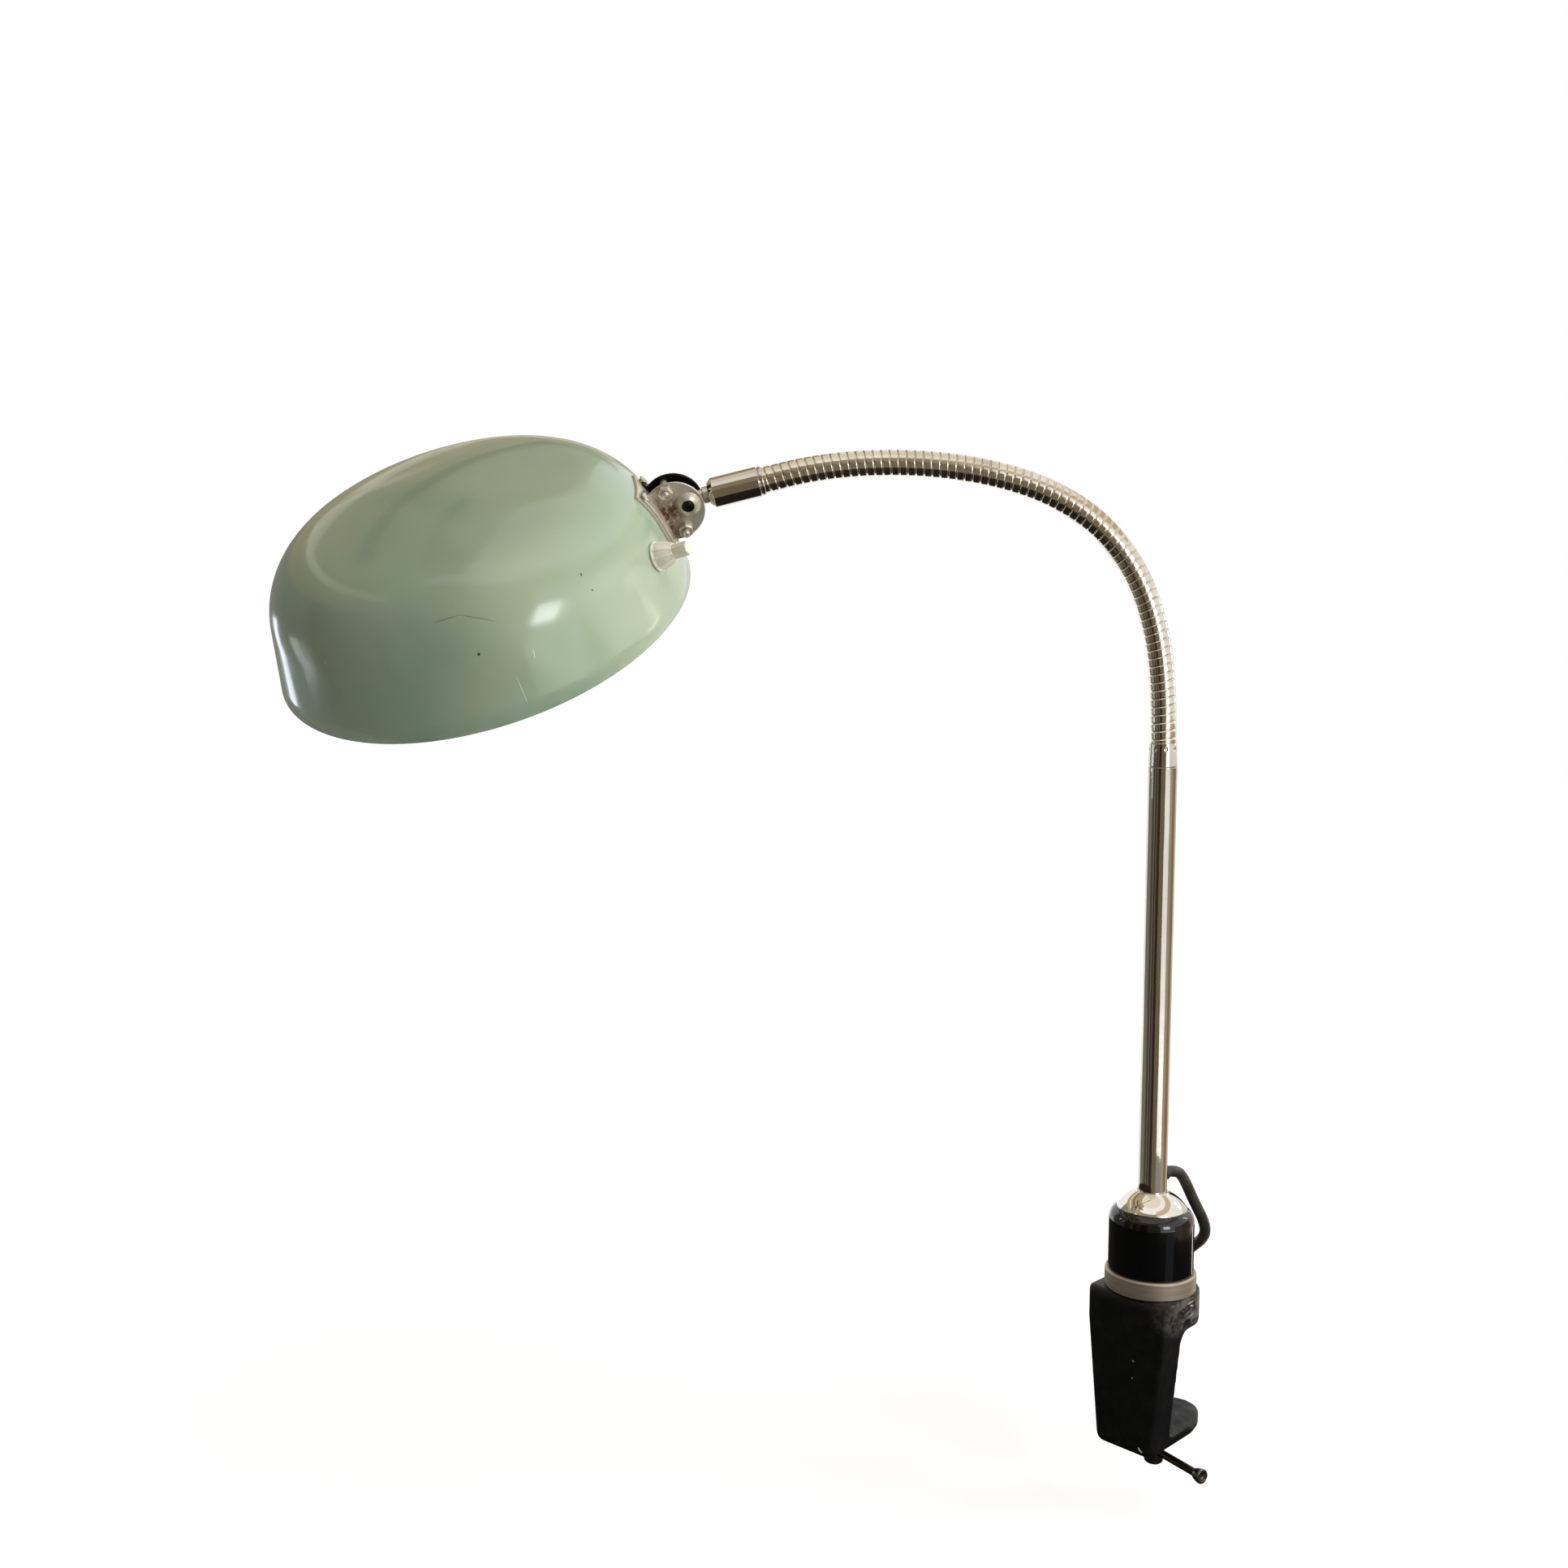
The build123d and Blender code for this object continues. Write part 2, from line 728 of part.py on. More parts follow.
def wall_strip(inner, thick, half_height, side_from, side_to):
    # Strip formed to the wall: its section, at one edge, turned about the shade's axis to the other.
    start = degrees(asin(side_from / wall_radius))
    end = degrees(asin(side_to / wall_radius))
    with BuildSketch(Plane.XZ) as section:
        add(bowl_half(inner + thick))
        add(bowl_half(inner), mode=Mode.SUBTRACT)
        with Locations((wall_radius, foot_height)):
            Rectangle(wall_radius, half_height * 2, mode=Mode.INTERSECT)
    revolve(section.sketch.rotate(Axis.Z, start), axis=Axis.Z, revolution_arc=end - start)


def rivet_holes():
    for plane in rivet_planes:
        with BuildSketch(plane.offset(-shade_wall - overrun)) as hole:
            Circle(rivet_radius + seat_gap)
        depth = shade_wall + bracket_plate + cheek_thick + overrun * 2
        extrude(hole.sketch, amount=depth, mode=Mode.SUBTRACT)


# Shade: spun bowl with a drafted wall, a round shoulder and a crowned top
switch_plane = wall_plane(switch_azimuth, switch_height)
with BuildPart() as shade:
    revolve(bowl_half(0), axis=Axis.Z)
    revolve(bowl_half(-shade_wall), axis=Axis.Z, mode=Mode.SUBTRACT)
    rivet_holes()
    with BuildSketch(switch_plane.offset(-shade_wall - overrun)):
        Circle(switch_neck_radius + seat_gap)
    extrude(amount=shade_wall + overrun * 2, mode=Mode.SUBTRACT)
save(shade, "shade", shade_place)

# Ball joint's plate and cheeks
with BuildPart() as base_plate:
    wall_strip(0, bracket_plate, bracket_half_height, -bracket_half_width, bracket_half_width)
    rivet_holes()
save(base_plate, "base_plate", shade_place)

cap_angle = degrees(asin(cheek_inside / (ball_radius + running_gap + cheek_thick)))
bolt_places = [(-bolt_n, bolt_t), (-bolt_n, -bolt_t)]
with BuildPart() as front_cheek:
    with BuildSketch(bracket.offset(cheek_inside)):
        with Locations((-cheek_centre, 0)):
            Circle(cheek_radius)
        with Locations(*bolt_places):
            Circle(bolt_radius + seat_gap, mode=Mode.SUBTRACT)
    extrude(amount=cheek_thick)
    revolve(bowl_half(bracket_plate + cheek_thick / 2), axis=Axis.Z, mode=Mode.SUBTRACT)
    wall_strip(bracket_plate, cheek_thick, cheek_foot_half_height, -cheek_foot_reach, -cheek_inside)
    with Locations(bracket.location):
        Sphere(ball_radius + running_gap + cheek_thick, arc_size1=cap_angle, align=None)
        Sphere(ball_radius + running_gap, mode=Mode.SUBTRACT)
    with BuildSketch(bracket):
        Circle(cheek_hole_radius)
    extrude(amount=ball_radius * 2, mode=Mode.SUBTRACT)
    rivet_holes()
rear_cheek_solid = mirror(front_cheek.part, about=Plane.XZ)
save(front_cheek, "front_cheek", shade_place)

with BuildPart() as rear_cheek:
    add(rear_cheek_solid)
save(rear_cheek, "rear_cheek", shade_place)

# Screws and nuts that squeeze the cheeks
cheek_outside = cheek_inside + cheek_thick
with BuildPart() as joint_bolts:
    for (out, up), tail in zip(bolt_places, bolt_tails):
        with BuildSketch(bracket.offset(-cheek_outside)):
            with Locations((out, up)):
                Circle(bolt_radius)
        extrude(amount=cheek_outside * 2 + nut_thick + tail)
        with BuildSketch(bracket.offset(-cheek_outside)):
            with Locations((out, up)):
                Circle(bolt_head_radius)
        extrude(amount=-bolt_head)
save(joint_bolts, "joint_bolts", shade_place)

with BuildPart() as joint_nuts:
    with BuildSketch(bracket.offset(cheek_outside)):
        with Locations(*bolt_places):
            RegularPolygon(nut_flats / 2, side_count=6, major_radius=False)
            Circle(bolt_radius + seat_gap, mode=Mode.SUBTRACT)
    extrude(amount=nut_thick)
save(joint_nuts, "joint_nuts", shade_place)

rivet_grip = shade_wall + rivet_seat + bracket_plate + cheek_thick
with BuildPart() as shade_rivets:
    for plane in rivet_planes:
        with BuildSketch(plane.offset(-shade_wall - rivet_seat)):
            Circle(rivet_radius)
        extrude(amount=rivet_grip + rivet_head)
        with BuildSketch(plane.offset(-shade_wall - rivet_seat)):
            Circle(rivet_head_radius)
        extrude(amount=-rivet_head)
        with BuildSketch(plane.offset(bracket_plate + cheek_thick)):
            Circle(rivet_head_radius)
        extrude(amount=rivet_head)
save(shade_rivets, "shade_rivets", shade_place)

# Lampholder on the inside of the same wall, with the bulb lying along the shade
holder_front = wall_plane(0, holder_height).origin.X - shade_wall - holder_length
holder_axis = Plane(origin=(holder_front, 0, holder_height), x_dir=(0, 0, 1), z_dir=(1, 0, 0))
with BuildPart() as lampholder:
    with BuildSketch(holder_axis):
        Circle(holder_radius)
    extrude(amount=holder_length - holder_neck)
    rivet_inside = shade_wall + rivet_seat + rivet_head + body_gap
    revolve(bowl_half(-rivet_inside), axis=Axis.Z, mode=Mode.INTERSECT)
    with BuildSketch(holder_axis):
        Circle(holder_neck_radius)
    extrude(amount=holder_length + holder_neck)
    with BuildSketch(holder_axis):
        Circle(holder_bore_radius)
    extrude(amount=holder_bore, mode=Mode.SUBTRACT)
    revolve(bowl_half(-shade_wall - seat_gap), axis=Axis.Z, mode=Mode.INTERSECT)
save(lampholder, "lampholder", shade_place)

cap_back = holder_bore - body_gap
with BuildPart() as bulb_cap:
    with BuildSketch(holder_axis.offset(cap_back - cap_length)):
        Circle(cap_radius)
    extrude(amount=cap_length)
save(bulb_cap, "bulb_cap", shade_place)

bulb_middle = cap_back - cap_length - bulb_neck - turn(bulb_neck_radius, bulb_radius)
with BuildPart() as bulb_glass:
    for skin, mode in ((0, Mode.ADD), (bulb_wall, Mode.SUBTRACT)):
        with BuildSketch(holder_axis.offset(cap_back - cap_length)):
            Circle(bulb_neck_radius - skin)
        extrude(amount=-bulb_neck - bulb_radius, mode=mode)
        with Locations(holder_axis.offset(bulb_middle).location):
            Sphere(bulb_radius - skin, mode=mode)
save(bulb_glass, "bulb_glass", shade_place)

# Push switch: ribbed collar outside, body inside, button through both
with BuildPart() as switch_collar:
    with BuildSketch(switch_plane):
        Circle(collar_foot_radius)
    extrude(amount=collar_foot)
    with BuildSketch(switch_plane.offset(collar_foot)):
        RegularPolygon(collar_foot_radius, side_count=collar_sides)
    with BuildSketch(switch_plane.offset(collar_length)):
        RegularPolygon(collar_tip_radius, side_count=collar_sides)
    loft()
    with BuildSketch(switch_plane):
        Circle(switch_neck_radius + seat_gap)
    extrude(amount=collar_length / 2, mode=Mode.SUBTRACT)
    with BuildSketch(switch_plane):
        Circle(button_radius + running_gap)
    extrude(amount=collar_length + overrun, mode=Mode.SUBTRACT)
save(switch_collar, "switch_collar", shade_place)

chamber_length = button_flange + button_travel + body_gap * 2
body_top = -shade_wall - switch_seat
with BuildPart() as switch_body:
    with BuildSketch(switch_plane.offset(body_top)):
        Circle(switch_body_radius)
    extrude(amount=-switch_body_length)
    with BuildSketch(switch_plane.offset(body_top)):
        Circle(switch_neck_radius)
    extrude(amount=collar_length / 2 - body_top - body_gap)
    with BuildSketch(switch_plane.offset(body_top)):
        Circle(button_radius + running_gap)
    extrude(amount=collar_length, mode=Mode.SUBTRACT)
    with BuildSketch(switch_plane.offset(body_top)):
        Circle(button_flange_radius + running_gap)
    extrude(amount=-chamber_length, mode=Mode.SUBTRACT)
save(switch_body, "switch_body", shade_place)

with BuildPart() as switch_button:
    with BuildSketch(switch_plane.offset(body_top - body_gap)):
        Circle(button_radius)
    extrude(amount=collar_length + button_reach - body_top + body_gap)
    fillet(switch_button.faces().filter_by(switch_plane).edges(), button_edge)
    with BuildSketch(switch_plane.offset(body_top - body_gap)):
        Circle(button_flange_radius)
    extrude(amount=-button_flange)
save(switch_button, "switch_button", shade_place)

# Cord: a lead that falls behind the base, a tied coil, and a tail with its plug
hang = Vector(cos(radians(coil_azimuth)), sin(radians(coil_azimuth)), 0)
hang_left = Vector(0, 0, 1).cross(hang)


def hang_point(along, left, up):
    return hang * along + hang_left * left + Vector(0, 0, up)


def corner_radii(points):
    # Largest radius that two runs allow at each corner.
    radii = []
    for before, at, after in zip(points, points[1:], points[2:]):
        bend = (at - before).get_angle(after - at)
        run = min((at - before).length, (after - at).length)
        radii.append(0.45 * run / tan(radians(bend / 2)))
    return radii


coil_outer = coil_mean_radius + coil_pitch * coil_turns[0] / 2
coil_inner = coil_mean_radius - coil_pitch * coil_turns[0] / 2
coil_start = hang_point(coil_along - coil_outer, coil_left, coil_up)
exit_point = exit_plane.origin + exit_plane.z_dir * (stem_radius + grommet_reach)
lead_points = [exit_point]
lead_points += [hang_point(*point) for point in cord_route]
lead_points += [coil_start + Vector(0, 0, lead_fall), coil_start]
lead_radii = corner_radii(lead_points)
print("lead radii", [round(radius, 1) for radius in lead_radii])
with BuildPart() as cord_lead:
    with BuildLine() as lead_path:
        FilletPolyline(*lead_points, radius=lead_radii)
    with BuildSketch(Plane(origin=lead_path.line @ 0, z_dir=lead_path.line % 0)):
        Circle(cord_radius)
    sweep(path=lead_path.line)
lead_length = sum(edge.length for edge in lead_path.edges())
lead_volume = pi * cord_radius**2 * lead_length
print("lead length", round(lead_length, 1), "volume share", round(cord_lead.part.volume / lead_volume, 4))
save(cord_lead, "cord_lead")


def coil_state(turns):
    # Radius and sideways place of the winding after so many turns: it spirals in and out, layer by layer.
    radius, left = coil_outer, coil_left
    inward = 1
    for layer, layer_turns in enumerate(coil_turns):
        if turns <= layer_turns:
            return radius - inward * coil_pitch * turns, left
        turns -= layer_turns
        radius -= inward * coil_pitch * layer_turns
        if turns < climb_turns:
            reach = min(turns, climb_turns - turns)
            rise = (1 - cos(pi * turns / climb_turns)) / 2
            return radius - inward * coil_pitch * reach, left + coil_pitch * rise
        turns -= climb_turns
        left += coil_pitch
        inward = -inward
    return radius, left


def coil_point(turns):
    radius, left = coil_state(turns)
    angle = pi + 2 * pi * turns
    return hang_point(coil_along + radius * cos(angle), left, coil_up + radius * sin(angle))


def coil_tangent(turns):
    step = 1e-4
    return (coil_point(turns + step) - coil_point(turns - step)).normalized()


all_turns = sum(coil_turns) + climb_turns * (len(coil_turns) - 1)
quarters = round(all_turns * 4)
knots = [quarter / 4 for quarter in range(quarters + 1)]
down = Vector(0, 0, -1)
with BuildPart() as cord_coil:
    with BuildLine() as coil_path:
        for before, after in zip(knots, knots[1:]):
            start, end = coil_point(before), coil_point(after)
            start_dir = down if before == 0 else coil_tangent(before)
            end_dir = down if after == knots[-1] else coil_tangent(after)
            chord, both = end - start, start_dir + end_dir
            spread = 2 * (1 - start_dir.dot(end_dir))
            reach = (sqrt(chord.dot(both) ** 2 + spread * chord.dot(chord)) - chord.dot(both)) / spread
            first, last = start + start_dir * reach, end - end_dir * reach
            middle = (first + last) / 2
            TangentArc(start, middle, tangent=start_dir)
            TangentArc(middle, end, tangent=(last - first).normalized())
    with BuildSketch(Plane(origin=coil_path.line @ 0, z_dir=coil_path.line % 0)):
        RegularPolygon(cord_radius, side_count=cord_sides)
    sweep(path=coil_path.line)
coil_length = sum(edge.length for edge in coil_path.edges())
samples = [coil_point(all_turns * number / 900) for number in range(901)]
apart = round(900 / all_turns / 2)
least = min((a - b).length for i, a in enumerate(samples) for b in samples[i + apart :])
print("coil length", round(coil_length), "least gap", round(least - cord_radius * 2, 2))
save(cord_coil, "cord_coil")

# Tie round the lowest part of the coil
tie_inner = coil_inner - coil_pitch * climb_turns / 2 - cord_radius - body_gap
tie_outer = coil_outer + coil_pitch * climb_turns / 2 + cord_radius + body_gap
tie_left = coil_left - cord_radius - body_gap
tie_right = coil_left + coil_pitch * (len(coil_turns) - 1) + cord_radius + body_gap
tie_plane = Plane(
    origin=hang_point(coil_along, (tie_left + tie_right) / 2, coil_up - (tie_inner + tie_outer) / 2),
    x_dir=hang_left,
    z_dir=hang,
)
tie_corner = cord_radius
with BuildPart() as cord_tie:
    with BuildSketch(tie_plane):
        RectangleRounded(
            tie_right - tie_left + tie_thick * 2, tie_outer - tie_inner + tie_thick * 2, tie_corner + tie_thick
        )
        RectangleRounded(tie_right - tie_left, tie_outer - tie_inner, tie_corner, mode=Mode.SUBTRACT)
    extrude(amount=tie_width / 2, both=True)
save(cord_tie, "cord_tie")

tail_top = coil_point(all_turns)
tail_plane = Plane(origin=tail_top, x_dir=hang_left, z_dir=(0, 0, -1))
with BuildPart() as cord_tail:
    with BuildSketch(tail_plane):
        Circle(cord_radius)
    extrude(amount=tail_length)
save(cord_tail, "cord_tail")

plug_top = tail_length
plug_shoulder = plug_top + plug_neck
with BuildPart() as plug_body:
    with BuildSketch(tail_plane.offset(plug_top)):
        Circle(plug_neck_radius)
    with BuildSketch(tail_plane.offset(plug_shoulder)):
        RectangleRounded(plug_width, plug_thick, plug_corner)
    loft()
    with BuildSketch(tail_plane.offset(plug_shoulder)):
        RectangleRounded(plug_width, plug_thick, plug_corner)
    extrude(amount=plug_length - plug_neck)
save(plug_body, "plug_body")

with BuildPart() as plug_pins:
    with BuildSketch(tail_plane.offset(plug_top + plug_length)):
        with GridLocations(pin_spacing, pin_spacing, 2, 1):
            Circle(pin_radius)
    extrude(amount=pin_length)
save(plug_pins, "plug_pins")
print("cord length", round(lead_length + coil_length + tail_length))
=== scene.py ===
import json
import math

import bmesh
import bpy
from mathutils import Matrix, Vector


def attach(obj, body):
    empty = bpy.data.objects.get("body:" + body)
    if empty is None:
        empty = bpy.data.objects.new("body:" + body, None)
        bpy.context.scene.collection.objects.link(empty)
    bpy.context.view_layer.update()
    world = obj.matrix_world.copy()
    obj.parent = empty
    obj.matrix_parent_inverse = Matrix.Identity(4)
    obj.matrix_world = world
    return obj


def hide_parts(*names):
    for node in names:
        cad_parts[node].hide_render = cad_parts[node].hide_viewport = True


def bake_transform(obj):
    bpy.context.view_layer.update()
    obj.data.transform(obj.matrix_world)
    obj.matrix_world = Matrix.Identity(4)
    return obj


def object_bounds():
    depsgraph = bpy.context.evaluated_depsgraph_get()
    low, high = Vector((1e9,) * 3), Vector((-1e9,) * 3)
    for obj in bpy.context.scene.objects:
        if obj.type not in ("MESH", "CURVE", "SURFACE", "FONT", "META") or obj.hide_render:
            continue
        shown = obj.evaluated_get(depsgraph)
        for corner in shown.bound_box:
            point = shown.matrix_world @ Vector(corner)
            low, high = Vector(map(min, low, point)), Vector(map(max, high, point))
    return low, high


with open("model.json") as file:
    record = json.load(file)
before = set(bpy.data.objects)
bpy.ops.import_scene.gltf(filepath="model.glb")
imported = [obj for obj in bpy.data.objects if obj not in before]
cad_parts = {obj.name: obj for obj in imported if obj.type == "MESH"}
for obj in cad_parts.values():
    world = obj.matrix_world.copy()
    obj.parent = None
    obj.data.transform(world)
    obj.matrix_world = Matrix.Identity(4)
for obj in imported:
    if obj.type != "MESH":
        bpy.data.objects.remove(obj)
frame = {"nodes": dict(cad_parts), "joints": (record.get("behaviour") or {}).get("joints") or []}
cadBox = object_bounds()
nodes = frame["nodes"]
joints = {joint["name"]: joint for joint in frame["joints"]}
mm = 0.001
weld = 1e-7  # metres within which two points of a mesh are one
upright = Matrix.Identity(4)
print("frame loaded,", len(nodes), "nodes")


# small helpers: frames, meshes, turned shapes

def axisFrame(place, along, side=(0, 0, 1)):
    # local Z runs along the axis, local X as near to side as it can
    z = Vector(along).normalized()
    x = Vector(side) - z * Vector(side).dot(z)
    if x.length < 1e-3:
        x = Vector((1, 0, 0)) - z * z.x
    x.normalize()
    return Matrix.Translation(place) @ Matrix((x, z.cross(x), z)).transposed().to_4x4()


def meshPiece(name, verts, faces, finish):
    mesh = bpy.data.meshes.new(name)
    mesh.from_pydata(verts, [], faces)
    bm = bmesh.new()
    bm.from_mesh(mesh)
    bmesh.ops.remove_doubles(bm, verts=bm.verts, dist=weld)
    bmesh.ops.dissolve_degenerate(bm, edges=bm.edges, dist=weld)
    bmesh.ops.recalc_face_normals(bm, faces=bm.faces)
    bm.to_mesh(mesh)
    bm.free()
    mesh.shade_smooth()
    mesh.materials.append(finish)
    piece = bpy.data.objects.new(name, mesh)
    bpy.context.scene.collection.objects.link(piece)
    return piece


def softened(profile, cut, steps=3, gentle=0.25, most=0.45):
    # the corners of a (radius, height) profile, eased by a small round unless the turn is gentle
    eased = [profile[0]]
    for before, corner, after in zip(profile, profile[1:], profile[2:]):
        c = Vector(corner)
        back, on = Vector(before) - c, Vector(after) - c
        if back.length < 1e-6 or on.length < 1e-6 or back.angle(-on) < gentle:
            eased.append(corner)
            continue
        reach = min(cut, back.length * most, on.length * most)
        p, q = c + back.normalized() * reach, c + on.normalized() * reach
        for step in range(steps + 1):
            t = step / steps
            eased.append(tuple(p * (1 - t) ** 2 + c * 2 * t * (1 - t) + q * t * t))
    eased.append(profile[-1])
    return eased


def arcBetween(start, end, heading, count=12):
    # arc of a (radius, height) profile that leaves start at the given heading, in degrees
    chord = Vector(end) - Vector(start)
    first = math.radians(heading)
    half = (math.atan2(chord.y, chord.x) - first + math.pi) % (2 * math.pi) - math.pi
    radius = chord.length / (2 * math.sin(half))
    points = []
    for step in range(count + 1):
        along = first + 2 * half * step / count
        points.append((
            start[0] + radius * (math.sin(along) - math.sin(first)),
            start[1] - radius * (math.cos(along) - math.cos(first)),
        ))
    return points


def turnedMesh(parts, steps=96, shape=None):
    # lathe each (radius, height) profile in millimetres at its place
    # shape may change a radius by height and angle
    verts, faces = [], []
    for profile, place in parts:
        first = len(verts)
        for radius, height in profile:
            for k in range(steps):
                angle = 2 * math.pi * k / steps
                r = shape(radius, height, angle) if shape else radius
                verts.append(place @ Vector((r * math.cos(angle) * mm, r * math.sin(angle) * mm, height * mm)))
        for row in range(len(profile) - 1):
            for k in range(steps):
                a, n = first + row * steps, (k + 1) % steps
                faces.append((a + k, a + n, a + steps + n, a + steps + k))
    return verts, faces


def turnedSet(name, parts, finish, cut=0.3, steps=96, shape=None):
    parts = [(softened(profile, cut) if cut else profile, place) for profile, place in parts]
    piece = meshPiece(name, *turnedMesh(parts, steps, shape), finish)
    piece.modifiers.new("normals", "WEIGHTED_NORMAL").weight = 80
    return piece


def sixSided(flats, angle):
    # radius of a hexagon of the given width across flats
    return flats / 2 / math.cos((angle + math.pi / 6) % (math.pi / 3) - math.pi / 6)


def formedCopy(name, node, voxel, smoothing, finish):
    # a copy of a solid's mesh with the soft edges that casting, pressing or moulding leaves
    piece = bpy.data.objects.new(name, nodes[node].data.copy())
    bpy.context.scene.collection.objects.link(piece)
    piece.matrix_world = nodes[node].matrix_world.copy()
    remesh = piece.modifiers.new("remesh", "REMESH")
    remesh.mode = "VOXEL"
    remesh.voxel_size = voxel * mm
    smooth = piece.modifiers.new("smooth", "SMOOTH")
    smooth.iterations = smoothing
    smooth.factor = 0.5
    shown = piece.evaluated_get(bpy.context.evaluated_depsgraph_get())
    formed = bpy.data.meshes.new_from_object(shown)
    piece.modifiers.clear()
    piece.data = formed
    formed.name = name
    formed.materials.clear()
    formed.materials.append(finish)
    formed.shade_smooth()
    return piece


def curvedRun(start, corner, end, count=60):
    # points and lengths along a bend that leaves start and reaches end straight
    line = []
    for step in range(count + 1):
        t = step / count
        point = start * (1 - t) ** 2 + corner * 2 * t * (1 - t) + end * t * t
        tangent = ((corner - start) * (1 - t) + (end - corner) * t).normalized()
        length = line[-1][0] + (point - line[-1][1]).length if line else 0.0
        line.append((length, point, tangent))
    return line


def onRun(line, length):
    length = min(max(length, 0.0), line[-1][0])
    for low, high in zip(line, line[1:]):
        if length <= high[0]:
            t = (length - low[0]) / (high[0] - low[0])
            return low[1].lerp(high[1], t), low[2].lerp(high[2], t).normalized()
    return line[-1][1], line[-1][2]


def woundTube(name, line, before, look, across, radiusAt, finish):
    # the mesh's rows follow the winding or thread, so that each groove stays crisp
    pitch, around, perTurn = look["pitch"] * mm, look["around"], look["perTurn"]
    length = line[-1][0]
    firstRow = math.floor((before / pitch - 1) * perTurn)
    lastRow = math.ceil((before + length) / pitch * perTurn)
    verts, faces = [], []
    for row in range(firstRow, lastRow + 1):
        for k in range(around + 1):
            along = min(max((row / perTurn + k / around) * pitch, before), before + length)
            point, tangent = onRun(line, along - before)
            angle = 2 * math.pi * k / around
            radius = radiusAt((along / pitch - k / around) % 1.0) * mm
            verts.append(point + (across * math.cos(angle) + tangent.cross(across) * math.sin(angle)) * radius)
    wide = around + 1
    for row in range(lastRow - firstRow):
        for k in range(around):
            a = row * wide + k
            faces.append((a, a + 1, a + wide + 1, a + wide))
    return meshPiece(name, verts, faces, finish)


def fit(piece, body, slotName, *stoodFor):
    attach(piece, body)
    if stoodFor:
        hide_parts(*stoodFor)
    return piece


def fitFormed(name, node, voxel, smoothing, finishName, body, slotName):
    return fit(formedCopy(name, node, voxel, smoothing, finishes[finishName]), body, slotName, node)


def fitTurned(name, node, profile, place, finishName, body, slotName, cut=0.3, steps=96, shape=None):
    piece = turnedSet(name, [(profile, place)], finishes[finishName], cut, steps, shape)
    return fit(piece, body, slotName, node)


# node helpers for the finishes

def paint(red, green, blue):
    # a colour as it reads on screen, to linear
    levels = [value / 255 for value in (red, green, blue)]
    return tuple(v / 12.92 if v <= 0.04045 else ((v + 0.055) / 1.055) ** 2.4 for v in levels) + (1.0,)


def addNode(near, kind, inputs=None, **settings):
    # in the node tree of a node or socket
    tree = near.id_data
    made = tree.nodes.new("ShaderNode" + kind)
    for key, value in settings.items():
        setattr(made, key, value)
    for key, value in (inputs or {}).items():
        if isinstance(value, bpy.types.NodeSocket):
            tree.links.new(value, made.inputs[key])
        else:
            made.inputs[key].default_value = value
    return made


def newFinish(name, **sockets):
    finish = bpy.data.materials.new(name)
    finish.use_nodes = True
    shader = finish.node_tree.nodes["Principled BSDF"]
    for key, value in sockets.items():
        shader.inputs[key.replace("_", " ")].default_value = value
    return finish, shader, addNode(shader, "TexCoord").outputs["Object"]


def grain(coords, scale, detail=3.0, rough=0.55, stretch=None):
    if stretch:
        coords = addNode(coords, "Mapping", {"Vector": coords, "Scale": stretch}).outputs[0]
    inputs = {"Vector": coords, "Scale": scale, "Detail": detail, "Roughness": rough}
    return addNode(coords, "TexNoise", inputs).outputs[0]


def ranged(value, low, high, toLow=0.0, toHigh=1.0):
    inputs = {"Value": value, "From Min": low, "From Max": high, "To Min": toLow, "To Max": toHigh}
    return addNode(value, "MapRange", inputs).outputs[0]


def mixed(factor, first, second):
    return addNode(factor, "Mix", {0: factor, 6: first, 7: second}, data_type="RGBA").outputs[2]


def times(first, second, operation="MULTIPLY"):
    return addNode(first, "Math", {0: first, 1: second}, operation=operation, use_clamp=True).outputs[0]


def feed(shader, **sockets):
    for key, value in sockets.items():
        shader.id_data.links.new(value, shader.inputs[key.replace("_", " ")])


def bumped(shader, height, strength, distance):
    bump = addNode(shader, "Bump", {"Height": height, "Strength": strength, "Distance": distance * mm})
    feed(shader, Normal=bump.outputs[0])


def placed(coords, matrix, size=(1, 1, 1)):
    # coordinates in the frame of a matrix, in units of the given size
    inputs = {"Vector": coords, "Location": matrix.translation, "Rotation": matrix.to_euler(), "Scale": size}
    return addNode(coords, "Mapping", inputs, vector_type="TEXTURE").outputs[0]


def markMask(coords, matrix, halfSize, edge=0.25):
    # one when inside a small ellipsoid, for a chip or a scratch
    local = placed(coords, matrix, [size * mm for size in halfSize])
    away = addNode(local, "VectorMath", {0: local}, operation="LENGTH").outputs["Value"]
    return ranged(away, 1 + edge, 1 - edge)


def marks(coords, spots, edge=0.25):
    # one at any of the spots, each a matrix and a half size
    found = None
    for matrix, halfSize in spots:
        spot = markMask(coords, matrix, halfSize, edge)
        found = spot if found is None else times(found, spot, "ADD")
    return found


def lineSpot(start, end, normal, width, deep=2.0):
    # spot of a scratch from start to end, in millimetres, on a face with the given normal
    a, b = Vector(start), Vector(end)
    along, out = (b - a).normalized(), Vector(normal)
    side = out.cross(along).normalized()
    matrix = Matrix((along, side, along.cross(side))).transposed().to_4x4()
    matrix.translation = (a + b) / 2 * mm
    return matrix, ((b - a).length / 2, width / 2, deep)


def dotSpot(place, *halfSize):
    return Matrix.Translation(Vector(place) * mm), halfSize


def edgeMask(near, radius, low=0.02, high=0.2):
    # how near a rounded-off edge is
    soft = addNode(near, "Bevel", {"Radius": radius * mm}, samples=6).outputs[0]
    hard = addNode(near, "NewGeometry").outputs["True Normal"]
    same = addNode(near, "VectorMath", {0: soft, 1: hard}, operation="DOT_PRODUCT").outputs["Value"]
    return ranged(same, 1 - low, 1 - high)


